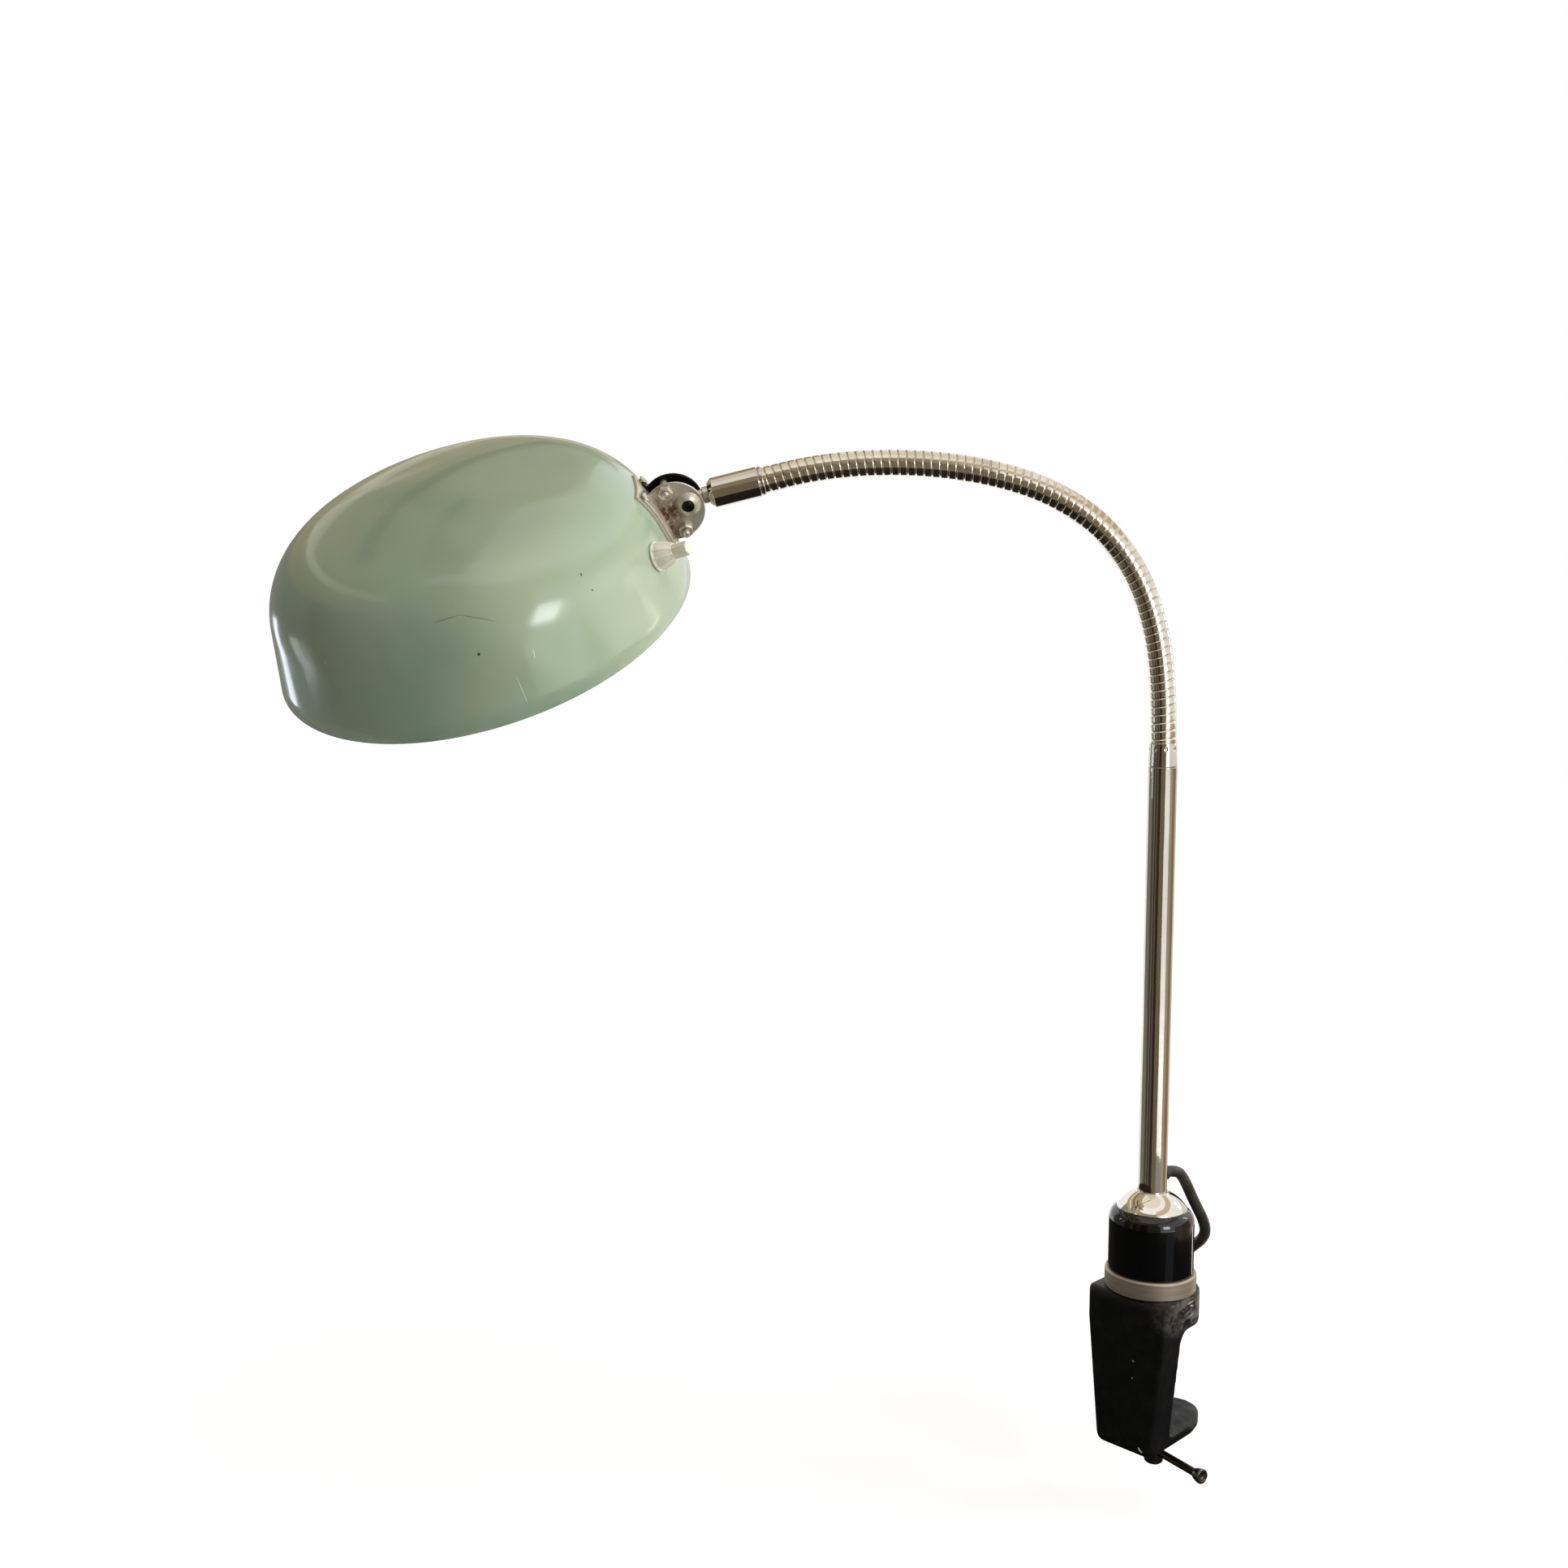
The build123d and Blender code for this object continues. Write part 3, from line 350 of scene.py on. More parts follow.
# camera, at the photograph's place

cameraView = {
    "place": (0.4045, -0.6601, 0.3135),
    "heading": 135.0,
    "dip": 4.09,
    "roll": 0.43,
    "lens": 36.26,
    "sensor": 36.0,
}


def setCamera():
    heading, dip, roll = (math.radians(cameraView[key]) for key in ("heading", "dip", "roll"))
    ahead = Vector((math.cos(heading) * math.cos(dip), math.sin(heading) * math.cos(dip), -math.sin(dip)))
    right = ahead.cross(Vector((0, 0, 1))).normalized()
    up = right.cross(ahead)
    across = right * math.cos(roll) + up * math.sin(roll)
    over = up * math.cos(roll) - right * math.sin(roll)
    data = bpy.data.cameras.new("camera")
    data.sensor_width = cameraView["sensor"]
    data.lens = cameraView["lens"]
    camera = bpy.data.objects.new("camera", data)
    bpy.context.scene.collection.objects.link(camera)
    turn = Matrix((across, over, -ahead)).transposed().to_4x4()
    camera.matrix_world = Matrix.Translation(cameraView["place"]) @ turn
    bpy.context.scene.camera = camera


setCamera()
bpy.context.scene.view_settings.view_transform = "Standard"

# studio: pale floor, soft boxes, and cards that give the plated parts a dim room to mirror

studio = {
    "middle": (-0.1, -0.1, 0.3),
    "floorDrop": 0.031,  # room below for the clamp's screw at its lowest
    "floorReach": 6.0,
    "floorColour": (196, 195, 193),
    "floorLift": (0.62, 1.0),
    "floorFade": (0.45, 1.5),
    "skyLight": 0.21,
    "boxes": {
        "windowBox": {
            "azimuth": -11, "lift": 6, "away": 1.25, "size": (0.36, 0.4), "power": 3.4,
            "tint": (0.94, 0.97, 1.0), "mirrored": True,
        },
        "keyBox": {
            "azimuth": 32, "lift": 14, "away": 1.3, "size": (0.8, 0.7), "power": 15.0,
            "tint": (1.0, 0.99, 0.96),
        },
        "fillBox": {
            "azimuth": 186, "lift": -2, "away": 1.3, "size": (0.8, 0.5), "power": 5.0,
            "tint": (0.97, 0.98, 1.0),
        },
        "topBox": {
            "azimuth": -8, "lift": 64, "away": 1.3, "size": (1.0, 0.8), "power": 9.0,
            "tint": (1.0, 0.96, 0.87),
        },
    },
    "boxSide": (0.7, 0.7, 0),
    "cardMiddle": (-0.04, -0.04),
    "cardSteps": 24,
    "panels": (  # azimuth where each upright panel starts, and its tone
        (-180, (130, 130, 120)), (-135, (80, 75, 65)), (-116, (120, 115, 100)), (-106, (50, 45, 35)),
        (-97, (100, 90, 80)), (-84, (50, 40, 30)), (-64, (120, 110, 90)), (-30, None), (8, (180, 170, 150)),
        (32, (150, 130, 105)), (62, (230, 220, 205)), (92, None),
    ),
    "panelReach": (0.48, 0.7),
    "panelRises": (0.0003, 0.62, 0.36),  # foot, and top on either side
    "cards": {
        "wallCard": {"span": (146, 250), "rise": (0.62, 2.0), "tone": (170, 153, 120), "away": 0.74},
        "frontCard": {"span": (250, 326), "rise": (0.62, 1.1), "tone": (150, 140, 116), "away": 0.74},
        "sideCard": {"span": (-34, 100), "rise": (0.9, 1.3), "tone": (206, 190, 160), "away": 0.74},
        "beamCard": {"span": (140, 214), "rise": (0.98, 1.05), "tone": (70, 60, 46), "away": 0.72},
        "archCard": {"span": (190, 262), "rise": (1.3, 1.4), "tone": (74, 64, 50), "away": 0.72},
        "ledgeCard": {"span": (150, 250), "rise": (0.76, 0.82), "tone": (246, 236, 212), "away": 0.72},
        "leftStrip": {
            "span": (-158, -153), "rise": (0.33, 0.46), "tone": (236, 244, 255), "away": 0.66, "glow": 3.2,
        },
        "leftPane": {
            "span": (-143, -138), "rise": (0.305, 0.42), "tone": (240, 246, 250), "away": 0.66, "glow": 1.6,
        },
        "stripCard": {
            "span": (63, 69), "rise": (0.4, 0.6), "tone": (255, 252, 246), "away": 0.66, "glow": 5.0,
        },
    },
    "mats": {
        "middleMat": {"span": (-180, 180), "reach": (0.0, 0.5), "rise": 0.0006, "tone": (22, 17, 14)},
        "windowMat": {"span": (-12, 8), "reach": (0.2, 0.5), "rise": 0.0008, "tone": (92, 98, 106)},
        "edgeMat": {
            "span": (78, 82), "reach": (0.16, 0.5), "rise": 0.0008, "tone": (255, 250, 240), "glow": 3.0,
        },
        "gapMat": {"span": (-30, 8), "reach": (0.5, 0.66), "rise": 0.0004, "tone": (150, 146, 140)},
    },
    "ceiling": {"rise": 2.0, "away": 0.74, "tone": (240, 231, 212)},
}


def aimed(azimuth, lift, away):
    side, rise = math.radians(azimuth), math.radians(lift)
    out = Vector((math.cos(side) * math.cos(rise), math.sin(side) * math.cos(rise), math.sin(rise)))
    return Vector(studio["middle"]) + out * away


def paleLight(near, rest, seen):
    # one strength for rays from the camera and for mirrored or refracted ones, another for the rest
    path = addNode(near, "LightPath").outputs
    share = times(path["Is Camera Ray"], path["Is Glossy Ray"], "ADD")
    return ranged(times(share, path["Is Transmission Ray"], "ADD"), 0, 1, rest, seen)


def cardPiece(name, span, ends, tone, glow=1.0):
    # swept round the lamp over a span of azimuths, from each (reach, height) end to the next
    finish = newFinish(
        name, Base_Color=(0, 0, 0, 1), Roughness=0.95, Emission_Color=paint(*tone), Emission_Strength=glow
    )[0]
    (x, y), count, wide = studio["cardMiddle"], studio["cardSteps"], len(ends)
    verts = []
    for step in range(count + 1):
        side = math.radians(span[0] + (span[1] - span[0]) * step / count)
        verts += [(x + reach * math.cos(side), y + reach * math.sin(side), height) for reach, height in ends]
    faces = [
        (step * wide + k, step * wide + wide + k, step * wide + wide + k + 1, step * wide + k + 1)
        for step in range(count)
        for k in range(wide - 1)
    ]
    card = meshPiece(name, verts, faces, finish)
    card.visible_camera = card.visible_diffuse = card.visible_shadow = card.visible_transmission = False


def setStudio():
    scene = bpy.context.scene
    world = bpy.data.worlds.new("studio")
    world.use_nodes = True
    scene.world = world
    background = world.node_tree.nodes["Background"]
    background.inputs["Color"].default_value = (1, 1, 1, 1)
    feed(background, Strength=paleLight(background, studio["skyLight"], 1.0))

    low = min(corner[2] for corner in cadBox) - studio["floorDrop"]
    floorFinish, shader, coords = newFinish("pale floor", Roughness=0.9, Emission_Color=(1, 1, 1, 1))
    shader.inputs["Base Color"].default_value = paint(*studio["floorColour"])
    spread = addNode(coords, "VectorMath", {0: coords, 1: studio["middle"]}, operation="DISTANCE")
    lift = ranged(spread.outputs["Value"], *studio["floorFade"], *studio["floorLift"])
    feed(shader, Emission_Strength=paleLight(shader, 0.0, lift))
    reach = studio["floorReach"]
    corners = [(-reach, -reach, low), (reach, -reach, low), (reach, reach, low), (-reach, reach, low)]
    meshPiece("floor", corners, [(0, 1, 2, 3)], floorFinish)

    for name, box in studio["boxes"].items():
        light = bpy.data.lights.new(name, "AREA")
        light.shape = "RECTANGLE"
        light.size, light.size_y = box["size"]
        light.energy = box["power"]
        light.color = box["tint"]
        lamp = bpy.data.objects.new(name, light)
        scene.collection.objects.link(lamp)
        place = aimed(box["azimuth"], box["lift"], box["away"])
        lamp.matrix_world = axisFrame(place, place - Vector(studio["middle"]), studio["boxSide"])
        lamp.visible_glossy = box.get("mirrored", False)

    for name, card in studio["cards"].items():
        ends = [(card["away"], low + rise) for rise in card["rise"]]
        cardPiece(name, card["span"], ends, card["tone"], card.get("glow", 1.0))
    for name, mat in studio["mats"].items():
        ends = [(reach, low + mat["rise"]) for reach in mat["reach"]]
        cardPiece(name, mat["span"], ends, mat["tone"], mat.get("glow", 1.0))
    ceiling = studio["ceiling"]
    ends = [(reach, low + ceiling["rise"]) for reach in (0, ceiling["away"])]
    cardPiece("ceilingCard", (-180, 180), ends, ceiling["tone"])
    inner, outer = studio["panelReach"]
    foot, leftTop, rightTop = (low + rise for rise in studio["panelRises"])
    for (first, tone), (last, after) in zip(studio["panels"], studio["panels"][1:]):
        if tone:
            ends = [(inner, foot), (outer, foot), (outer, leftTop if first < 0 else rightTop)]
            cardPiece(f"panel{first}", (first, last), ends, tone)


setStudio()
print("camera and studio set")

# the shade's frame, from the joints that carry it; its marks are placed in it

shadeLook = {
    "radius": 102.2,
    "depth": 71.0,
    "draft": 13.0,
    "shoulder": 44.0,
    "crown": 270.0,
    "wall": 1.0,
    "ballOut": 109.036,
    "ballHeight": 34.5,
    "lip": 0.25,
    "rimHeight": 0.2,
    "crownLean": 0.6,
    "wallShares": (0.25, 0.5, 0.75),
    "shoulderSteps": 36,
    "crownSteps": 24,
    "steps": 192,
    "green": (144, 168, 146),
    "sage": (158, 171, 144),
    "inside": (232, 228, 214),
    "insideWarm": (220, 210, 186),
    "bareSteel": (70, 64, 56),
    "speckTone": (84, 92, 78),
    "crackTone": (92, 98, 84),
    "scratchTone": (216, 220, 204),
    "wornTone": (196, 206, 186),
    "chips": (dotSpot((10.0, -93.9, 33.2), 0.6, 1.2, 0.7), dotSpot((58.8, -67.4, 44.4), 0.35, 0.5, 0.9),
              dotSpot((61.7, -69.8, 37.0), 0.4, 0.5, 0.4)),
    "cracks": (lineSpot((-5.4, -86.2, 48.7), (6.5, -85.7, 49.1), (0.0, -0.8, 0.6), 0.35),
               lineSpot((6.5, -85.7, 49.1), (20.0, -87.7, 43.5), (0.15, -0.8, 0.55), 0.35)),
    "scratches": (lineSpot((22.2, -95.4, 18.4), (23.2, -98.0, 6.5), (0.2, -0.95, 0.2), 0.4),
                  lineSpot((31.7, -92.0, 23.5), (32.2, -90.3, 27.5), (0.3, -0.9, 0.3), 0.4),
                  lineSpot((-58.2, -72.6, 37.0), (-59.5, -73.0, 34.8), (-0.6, -0.75, 0.3), 0.35)),
}
ballCentre = Vector(joints["shade_roll"]["pos_m"])
shadeX = Vector(joints["shade_roll"]["axis"]).normalized()
shadeY = Vector(joints["shade_tilt"]["axis"])
shadeY = (shadeY - shadeX * shadeY.dot(shadeX)).normalized()
shadeZ = shadeX.cross(shadeY)
shadePlace = Matrix.Translation(
    ballCentre - shadeX * shadeLook["ballOut"] * mm - shadeZ * shadeLook["ballHeight"] * mm
) @ Matrix((shadeX, shadeY, shadeZ)).transposed().to_4x4()
draft = math.radians(shadeLook["draft"])
bracketPlace = shadePlace @ axisFrame(
    Vector((shadeLook["ballOut"], 0, shadeLook["ballHeight"])) * mm,
    (0, -1, 0),
    (math.cos(draft), 0, math.sin(draft)),
)

# finishes


def greenEnamel():
    finish, shader, coords = newFinish("sage green enamel", Coat_Weight=0.5, Coat_Roughness=0.07)
    coords = placed(coords, shadePlace)
    cloud = ranged(grain(coords, 16.0, 4.0), 0.3, 0.7)
    colour = mixed(cloud, paint(*shadeLook["green"]), paint(*shadeLook["sage"]))
    specks = ranged(grain(coords, 900.0, 1.0), 0.76, 0.8)
    cracks, scratches, chips = (marks(coords, shadeLook[kind]) for kind in ("cracks", "scratches", "chips"))
    worn = times(edgeMask(coords, 0.8), ranged(grain(coords, 130.0), 0.42, 0.6))
    for mask, share, tone in (
        (specks, 0.2, "speckTone"), (cracks, 0.8, "crackTone"), (scratches, 0.8, "scratchTone"),
        (worn, 0.3, "wornTone"), (chips, 1.0, "bareSteel"),
    ):
        colour = mixed(times(mask, share), colour, paint(*shadeLook[tone]))
    feed(shader, Base_Color=colour, Roughness=ranged(grain(coords, 60.0), 0.3, 0.7, 0.14, 0.24))
    swirl = {"Vector": coords, "Scale": 13.0, "Detail": 0.6, "Roughness": 0.4, "Distortion": 0.9}
    swell = addNode(coords, "TexNoise", swirl).outputs[0]
    wave = times(times(swell, 0.9), times(grain(coords, 42.0, 2.0), 0.04), "ADD")
    bumped(shader, wave, 1.0, 4.5)
    return finish


def insideEnamel():
    finish, shader, coords = newFinish("white enamel inside")
    warm = ranged(grain(coords, 25.0), 0.35, 0.75)
    feed(
        shader,
        Base_Color=mixed(warm, paint(*shadeLook["inside"]), paint(*shadeLook["insideWarm"])),
        Roughness=ranged(grain(coords, 90.0), 0.3, 0.7, 0.22, 0.4),
    )
    bumped(shader, grain(coords, 240.0), 0.06, 0.5)
    return finish


def platedMetal(
    name, bright, dull, smooth, pits=0.15, stretch=None, dullScale=22.0, wave=0.04, ripple=0.0, metal=1.0
):
    finish, shader, coords = newFinish(name, Metallic=metal)
    cloud = ranged(grain(coords, dullScale, 5.0, 0.65, stretch), 0.35, 0.75)
    specks = ranged(grain(coords, 900.0, 2.0), 0.68, 0.76)
    colour = mixed(cloud, paint(*bright), paint(*dull))
    colour = mixed(times(specks, pits), colour, paint(62, 50, 38))
    feed(shader, Base_Color=colour, Roughness=ranged(cloud, 0, 1, *smooth))
    height = times(grain(coords, 420.0, 2.0, 0.5, stretch), wave)
    if ripple:
        height = times(height, times(grain(coords, 70.0, 1.0), ripple), "ADD")
    bumped(shader, height, 1.0, 0.3)
    return finish


def stainedNickel(name, spots):
    # pressed and plated strip, with brown rust creeping out round the fasteners
    finish, shader, coords = newFinish(name)
    cloud = ranged(grain(coords, 160.0, 5.0, 0.7), 0.35, 0.7)
    colour = mixed(cloud, paint(218, 211, 196), paint(184, 174, 154))
    ragged = ranged(grain(coords, 420.0, 6.0, 0.75), 0.37, 0.47)
    rust = times(marks(coords, spots, 0.7), ragged)
    brown = mixed(ranged(grain(coords, 900.0), 0.35, 0.65), paint(116, 74, 36), paint(66, 40, 20))
    feed(
        shader,
        Base_Color=mixed(rust, colour, brown),
        Metallic=ranged(rust, 0, 1, 0.6, 0.1),
        Roughness=ranged(rust, 0, 1, 0.28, 0.8),
    )
    bumped(shader, rust, 0.2, 0.2)
    return finish


castingLook = {
    "black": (13, 13, 14),
    "dustTone": (38, 36, 34),
    "wornTone": (122, 116, 106),
    "speckTone": (150, 142, 124),
    "scratchTone": (208, 208, 202),
    "chipTone": (226, 224, 216),
    "chips": (lineSpot((9.0, -21.5, -55.8), (10.0, -21.5, -57.4), (0, -1, 0), 0.8),
              lineSpot((9.8, -21.5, -57.2), (11.2, -21.5, -57.6), (0, -1, 0), 0.7)),
    "specks": (dotSpot((5.0, -21.5, -14.5), 0.5, 1.0, 0.4), dotSpot((4.7, -21.5, -23.0), 0.35, 1.0, 0.5)),
    "wornSide": (dotSpot((20.0, 2.0, 9.0), 9.0, 20.0, 8.0),),
    "scratches": tuple(
        lineSpot((22.0, back, low), (20.2, front, low + rise), (1, 0.4, 0), width)
        for back, front, low, rise, width in (
            (-2.0, 2.4, 13.0, 0.4, 0.6), (0.4, 2.6, 11.6, -0.9, 0.9), (-4.4, 1.6, 8.0, 2.0, 0.45),
            (-0.6, 2.6, 6.0, 1.3, 0.7),
        )
    ),
}


def castIron():
    finish, shader, coords = newFinish("black painted iron", Specular_IOR_Level=0.3)
    rough = ranged(grain(coords, 240.0, 5.0, 0.7), 0.42, 0.62)
    dust = ranged(grain(coords, 90.0, 6.0, 0.7), 0.5, 0.8)
    colour = mixed(times(dust, 0.4), paint(*castingLook["black"]), paint(*castingLook["dustTone"]))
    scored = ranged(grain(coords, 520.0, 4.0, 0.7, (1.0, 0.25, 1.0)), 0.52, 0.66)
    scuffed = times(rough, times(scored, 0.7), "ADD")
    worn = times(marks(coords, castingLook["wornSide"], 0.5), scuffed)
    worn = times(times(worn, 0.6), times(edgeMask(coords, 1.6), times(rough, 0.6)), "ADD")
    scratched = times(marks(coords, castingLook["scratches"], 0.5), ranged(scored, 0, 1, 0.5, 1.0))
    for mask, tone in (
        (worn, "wornTone"), (marks(coords, castingLook["specks"]), "speckTone"), (scratched, "scratchTone"),
        (marks(coords, castingLook["chips"]), "chipTone"),
    ):
        colour = mixed(mask, colour, paint(*castingLook[tone]))
    feed(shader, Base_Color=colour, Roughness=ranged(grain(coords, 160.0, 4.0), 0.3, 0.7, 0.34, 0.55))
    bumped(shader, grain(coords, 330.0, 5.0, 0.65), 0.4, 0.6)
    return finish


def glossBlack(name, colour, smooth, wave=0.02):
    finish, shader, coords = newFinish(name, Coat_Weight=0.4, Coat_Roughness=0.03)
    dust = ranged(grain(coords, 520.0, 4.0, 0.7), 0.66, 0.8)
    feed(
        shader,
        Base_Color=mixed(times(dust, 0.4), paint(*colour), paint(74, 70, 64)),
        Roughness=ranged(grain(coords, 70.0), 0.3, 0.7, *smooth),
    )
    bumped(shader, grain(coords, 150.0, 2.0), wave, 0.5)
    return finish


def mouldedPlastic(name, colour, shadeColour, smooth, fine=500.0, strength=0.08, **sockets):
    finish, shader, coords = newFinish(name, **sockets)
    cloud = ranged(grain(coords, 180.0, 4.0), 0.35, 0.7)
    feed(
        shader,
        Base_Color=mixed(cloud, paint(*colour), paint(*shadeColour)),
        Roughness=ranged(grain(coords, 90.0), 0.3, 0.7, *smooth),
    )
    bumped(shader, grain(coords, fine, 3.0), strength, 0.3)
    return finish


def bracketSpot(out, up, front, *halfSize):
    return bracketPlace @ Matrix.Translation(Vector((out, up, front)) * mm), halfSize


finishes = {
    "enamel_green": greenEnamel(),
    "enamel_inside": insideEnamel(),
    "chrome_plate": platedMetal("chrome plate", (216, 211, 204), (194, 186, 174), (0.03, 0.09), ripple=0.5),
    # the dome's plating is a paler copy of chrome_plate: painted light, so its reflections read brighter than
    # the same plating gives elsewhere
    "dome_chrome_painted_bright": platedMetal("spun chrome painted brighter", (240, 236, 229), (224, 217, 206), (0.03, 0.08), 0.1, ripple=0.7),
    "neck_chrome": platedMetal("wound chrome", (236, 229, 218), (206, 195, 178), (0.08, 0.2), 0.4, None, 60.0),
    "ring_nickel": platedMetal(
        "brushed nickel", (186, 172, 156), (152, 136, 118), (0.34, 0.48), 0.2, (1, 1, 30), 30.0, 0.15, metal=0.7
    ),
    "nickel_plate": platedMetal("satin nickel", (212, 205, 192), (180, 170, 152), (0.22, 0.36), 0.3, metal=0.7),
    "stained_nickel": stainedNickel("stained nickel", (
        bracketSpot(-7.5, 0.5, 5.4, 4.5, 7.5, 2.0), bracketSpot(-8.5, -12.0, 5.4, 2.6, 2.6, 2.0),
        bracketSpot(-12.5, -2.0, 5.4, 1.6, 9.0, 3.0),
    )),
    # dark steel for the rear cheek and the ball: painted shade, for parts that sit behind and inside the front
    # cheek
    "blackened_steel": platedMetal("steel darkened as painted shade", (58, 54, 50), (40, 36, 32), (0.3, 0.5), 0.3),
    "cast_iron_black": castIron(),
    "gloss_black": glossBlack("gloss black lacquer", (5, 5, 6), (0.06, 0.12)),
    "plain_steel": platedMetal("plain steel", (150, 146, 140), (112, 104, 94), (0.26, 0.45), 0.4),
    "screw_steel": platedMetal(
        "browned screw steel", (118, 98, 80), (84, 66, 50), (0.3, 0.5), 0.6, None, 120.0
    ),
    "ivory_plastic": mouldedPlastic("ivory plastic", (238, 233, 219), (220, 212, 195), (0.28, 0.42)),
    "button_plastic": mouldedPlastic("cream button plastic", (236, 229, 210), (220, 210, 187), (0.25, 0.4)),
    "holder_plastic": mouldedPlastic("brown lampholder plastic", (42, 28, 20), (58, 38, 26), (0.25, 0.4)),
    "bulb_metal": platedMetal("bulb cap brass", (206, 186, 140), (170, 148, 104), (0.2, 0.35), 0.3),
    "opal_glass": mouldedPlastic("opal glass", (240, 238, 232), (232, 229, 220), (0.06, 0.12), 300.0, 0.01),
    "cord_rubber": mouldedPlastic("black cord rubber", (44, 42, 38), (60, 56, 50), (0.3, 0.46), 900.0, 0.15),
    "plug_plastic": mouldedPlastic("black plug plastic", (24, 24, 25), (36, 35, 34), (0.4, 0.55), 700.0, 0.2),
    "pin_brass": platedMetal("pin brass", (200, 170, 104), (168, 138, 78), (0.18, 0.3), 0.3),
}
print("finishes made:", len(finishes))

# clamp: cast body, threaded screw with its bar, and the swivelling shoe

clampLook = {
    "screwY": 7.0,
    "thread": {"pitch": 2.0, "around": 32, "perTurn": 6},
    "threadRadii": (4.25, 4.8),
    "threadSteep": 2.4,
    "threadFlat": 0.1,
    "threadSpan": (-63.5, -24.3),
    "end": [(0, -76.0), (3.7, -76.0), (4.6, -75.2), (4.6, -64.2), (4.2, -63.4), (0, -63.4)],
    "spigot": [(3.0, -24.6), (3.0, -20.6), (2.6, -20.3), (0, -20.3)],
    "shoe": [
        (0, -19.7), (3.08, -19.7), (3.08, -24.0), (9.5, -24.0), (10.5, -23.0), (10.5, -18.5), (10.0, -18.0),
        (9.2, -18.0), (8.9, -18.3), (8.6, -18.0), (7.4, -18.0), (7.1, -18.3), (6.8, -18.0), (0, -18.0),
    ],
    "barUp": -69.75,
    "bar": [(0, -30.0), (1.9, -30.0), (1.9, 30.0), (0, 30.0)],
    "knob": [
        (0, 30.0), (1.9, 30.0), (1.9, 27.8), (2.5, 27.7), (2.75, 28.2), (3.4, 30.2), (3.6, 31.6), (3.4, 32.3),
        (2.2, 32.3), (2.0, 31.1), (0, 31.1),
    ],
}


def threadAt(share):
    low, high = clampLook["threadRadii"]
    rise = clampLook["threadSteep"] * (0.5 - abs(share - 0.5)) - clampLook["threadFlat"]
    return low + (high - low) * min(1.0, max(0.0, rise))


def makeClamp():
    fitFormed("clamp_cast", "clamp_casting", 0.7, 12, "cast_iron_black", "clamp", "cast_iron_black")
    screwFoot = Matrix.Translation(Vector((0, clampLook["screwY"], 0)) * mm)
    low, high = (Vector((0, clampLook["screwY"], height)) * mm for height in clampLook["threadSpan"])
    line, across = curvedRun(low, (low + high) / 2, high, 4), Vector((1, 0, 0))
    steel = finishes["screw_steel"]
    thread = woundTube("clamp_thread", line, 0.0, clampLook["thread"], across, threadAt, steel)
    fit(thread, "screw", "plain_steel", "clamp_screw")
    ends = [(clampLook["end"], screwFoot), (clampLook["spigot"], screwFoot)]
    fit(turnedSet("clamp_screw_end", ends, steel), "screw", "plain_steel")
    fitTurned("clamp_shoe", "screw_shoe", clampLook["shoe"], screwFoot, "plain_steel", "shoe", "plain_steel")
    barPlace = axisFrame(Vector((0, clampLook["screwY"], clampLook["barUp"])) * mm, joints["bar_slide"]["axis"])
    fitTurned("clamp_bar", "tommy_bar", clampLook["bar"], barPlace, "screw_steel", "bar", "plain_steel")
    knobs = [(clampLook["knob"], barPlace), (clampLook["knob"], barPlace @ Matrix.Rotation(math.pi, 4, "X"))]
    fit(turnedSet("clamp_knobs", knobs, finishes["plain_steel"], 0.25), "bar", "plain_steel", "tommy_knobs")


makeClamp()
print("clamp made")

# base: brushed ring, lacquered swivel body, dome and stem, all turned on the stem's axis

baseLook = {
    "ring": [(5.05, 15.5), (21.3, 15.5), (21.9, 16.1), (21.9, 23.5), (21.2, 24.3), (5.05, 24.3), (5.05, 15.5)],
    "bodyFoot": [(17.4, 51.7), (17.4, 24.6), (20.4, 24.6)],
    "bodyShoulder": ((20.4, 48.7), (16.8, 54.7), 90.0),
    "bodyTop": [(7.05, 54.7), (7.05, 51.7), (17.4, 51.7)],
    "domeRim": [(15.6, 54.7), (16.8, 54.7)],
    "domeSide": ((16.8, 55.1), (8.4, 62.8), 122.0),
    "domeLip": [(8.3, 63.1), (7.9, 63.3), (7.05, 63.3), (7.05, 61.6), (15.6, 54.7)],
    "stem": [(5.8, 39.2), (7.0, 39.2), (7.0, 269.2), (5.8, 269.2), (5.8, 39.2)],
}


def makeBase():
    shell = baseLook["bodyFoot"] + arcBetween(*baseLook["bodyShoulder"]) + baseLook["bodyTop"]
    dome = baseLook["domeRim"] + arcBetween(*baseLook["domeSide"]) + baseLook["domeLip"]
    for name, node, profile, finishName, body, slotName, cut, steps in (
        ("base_ring_turned", "base_ring", baseLook["ring"], "ring_nickel", "clamp", "nickel_plate", 0.25, 160),
        ("base_shell", "base_body", shell, "gloss_black", "stem", "gloss_black", 0.4, 160),
        ("dome_spun", "dome_cap", dome, "dome_chrome_painted_bright", "stem", "chrome_plate", 0.15, 160),
        ("stem_plated", "stem_tube", baseLook["stem"], "chrome_plate", "stem", "chrome_plate", 0.3, 128),
    ):
        fitTurned(name, node, profile, upright, finishName, body, slotName, cut, steps)


makeBase()
print("base and stem turned")

# cord: out of the stem's side, down behind the base, the spare length in a tied coil

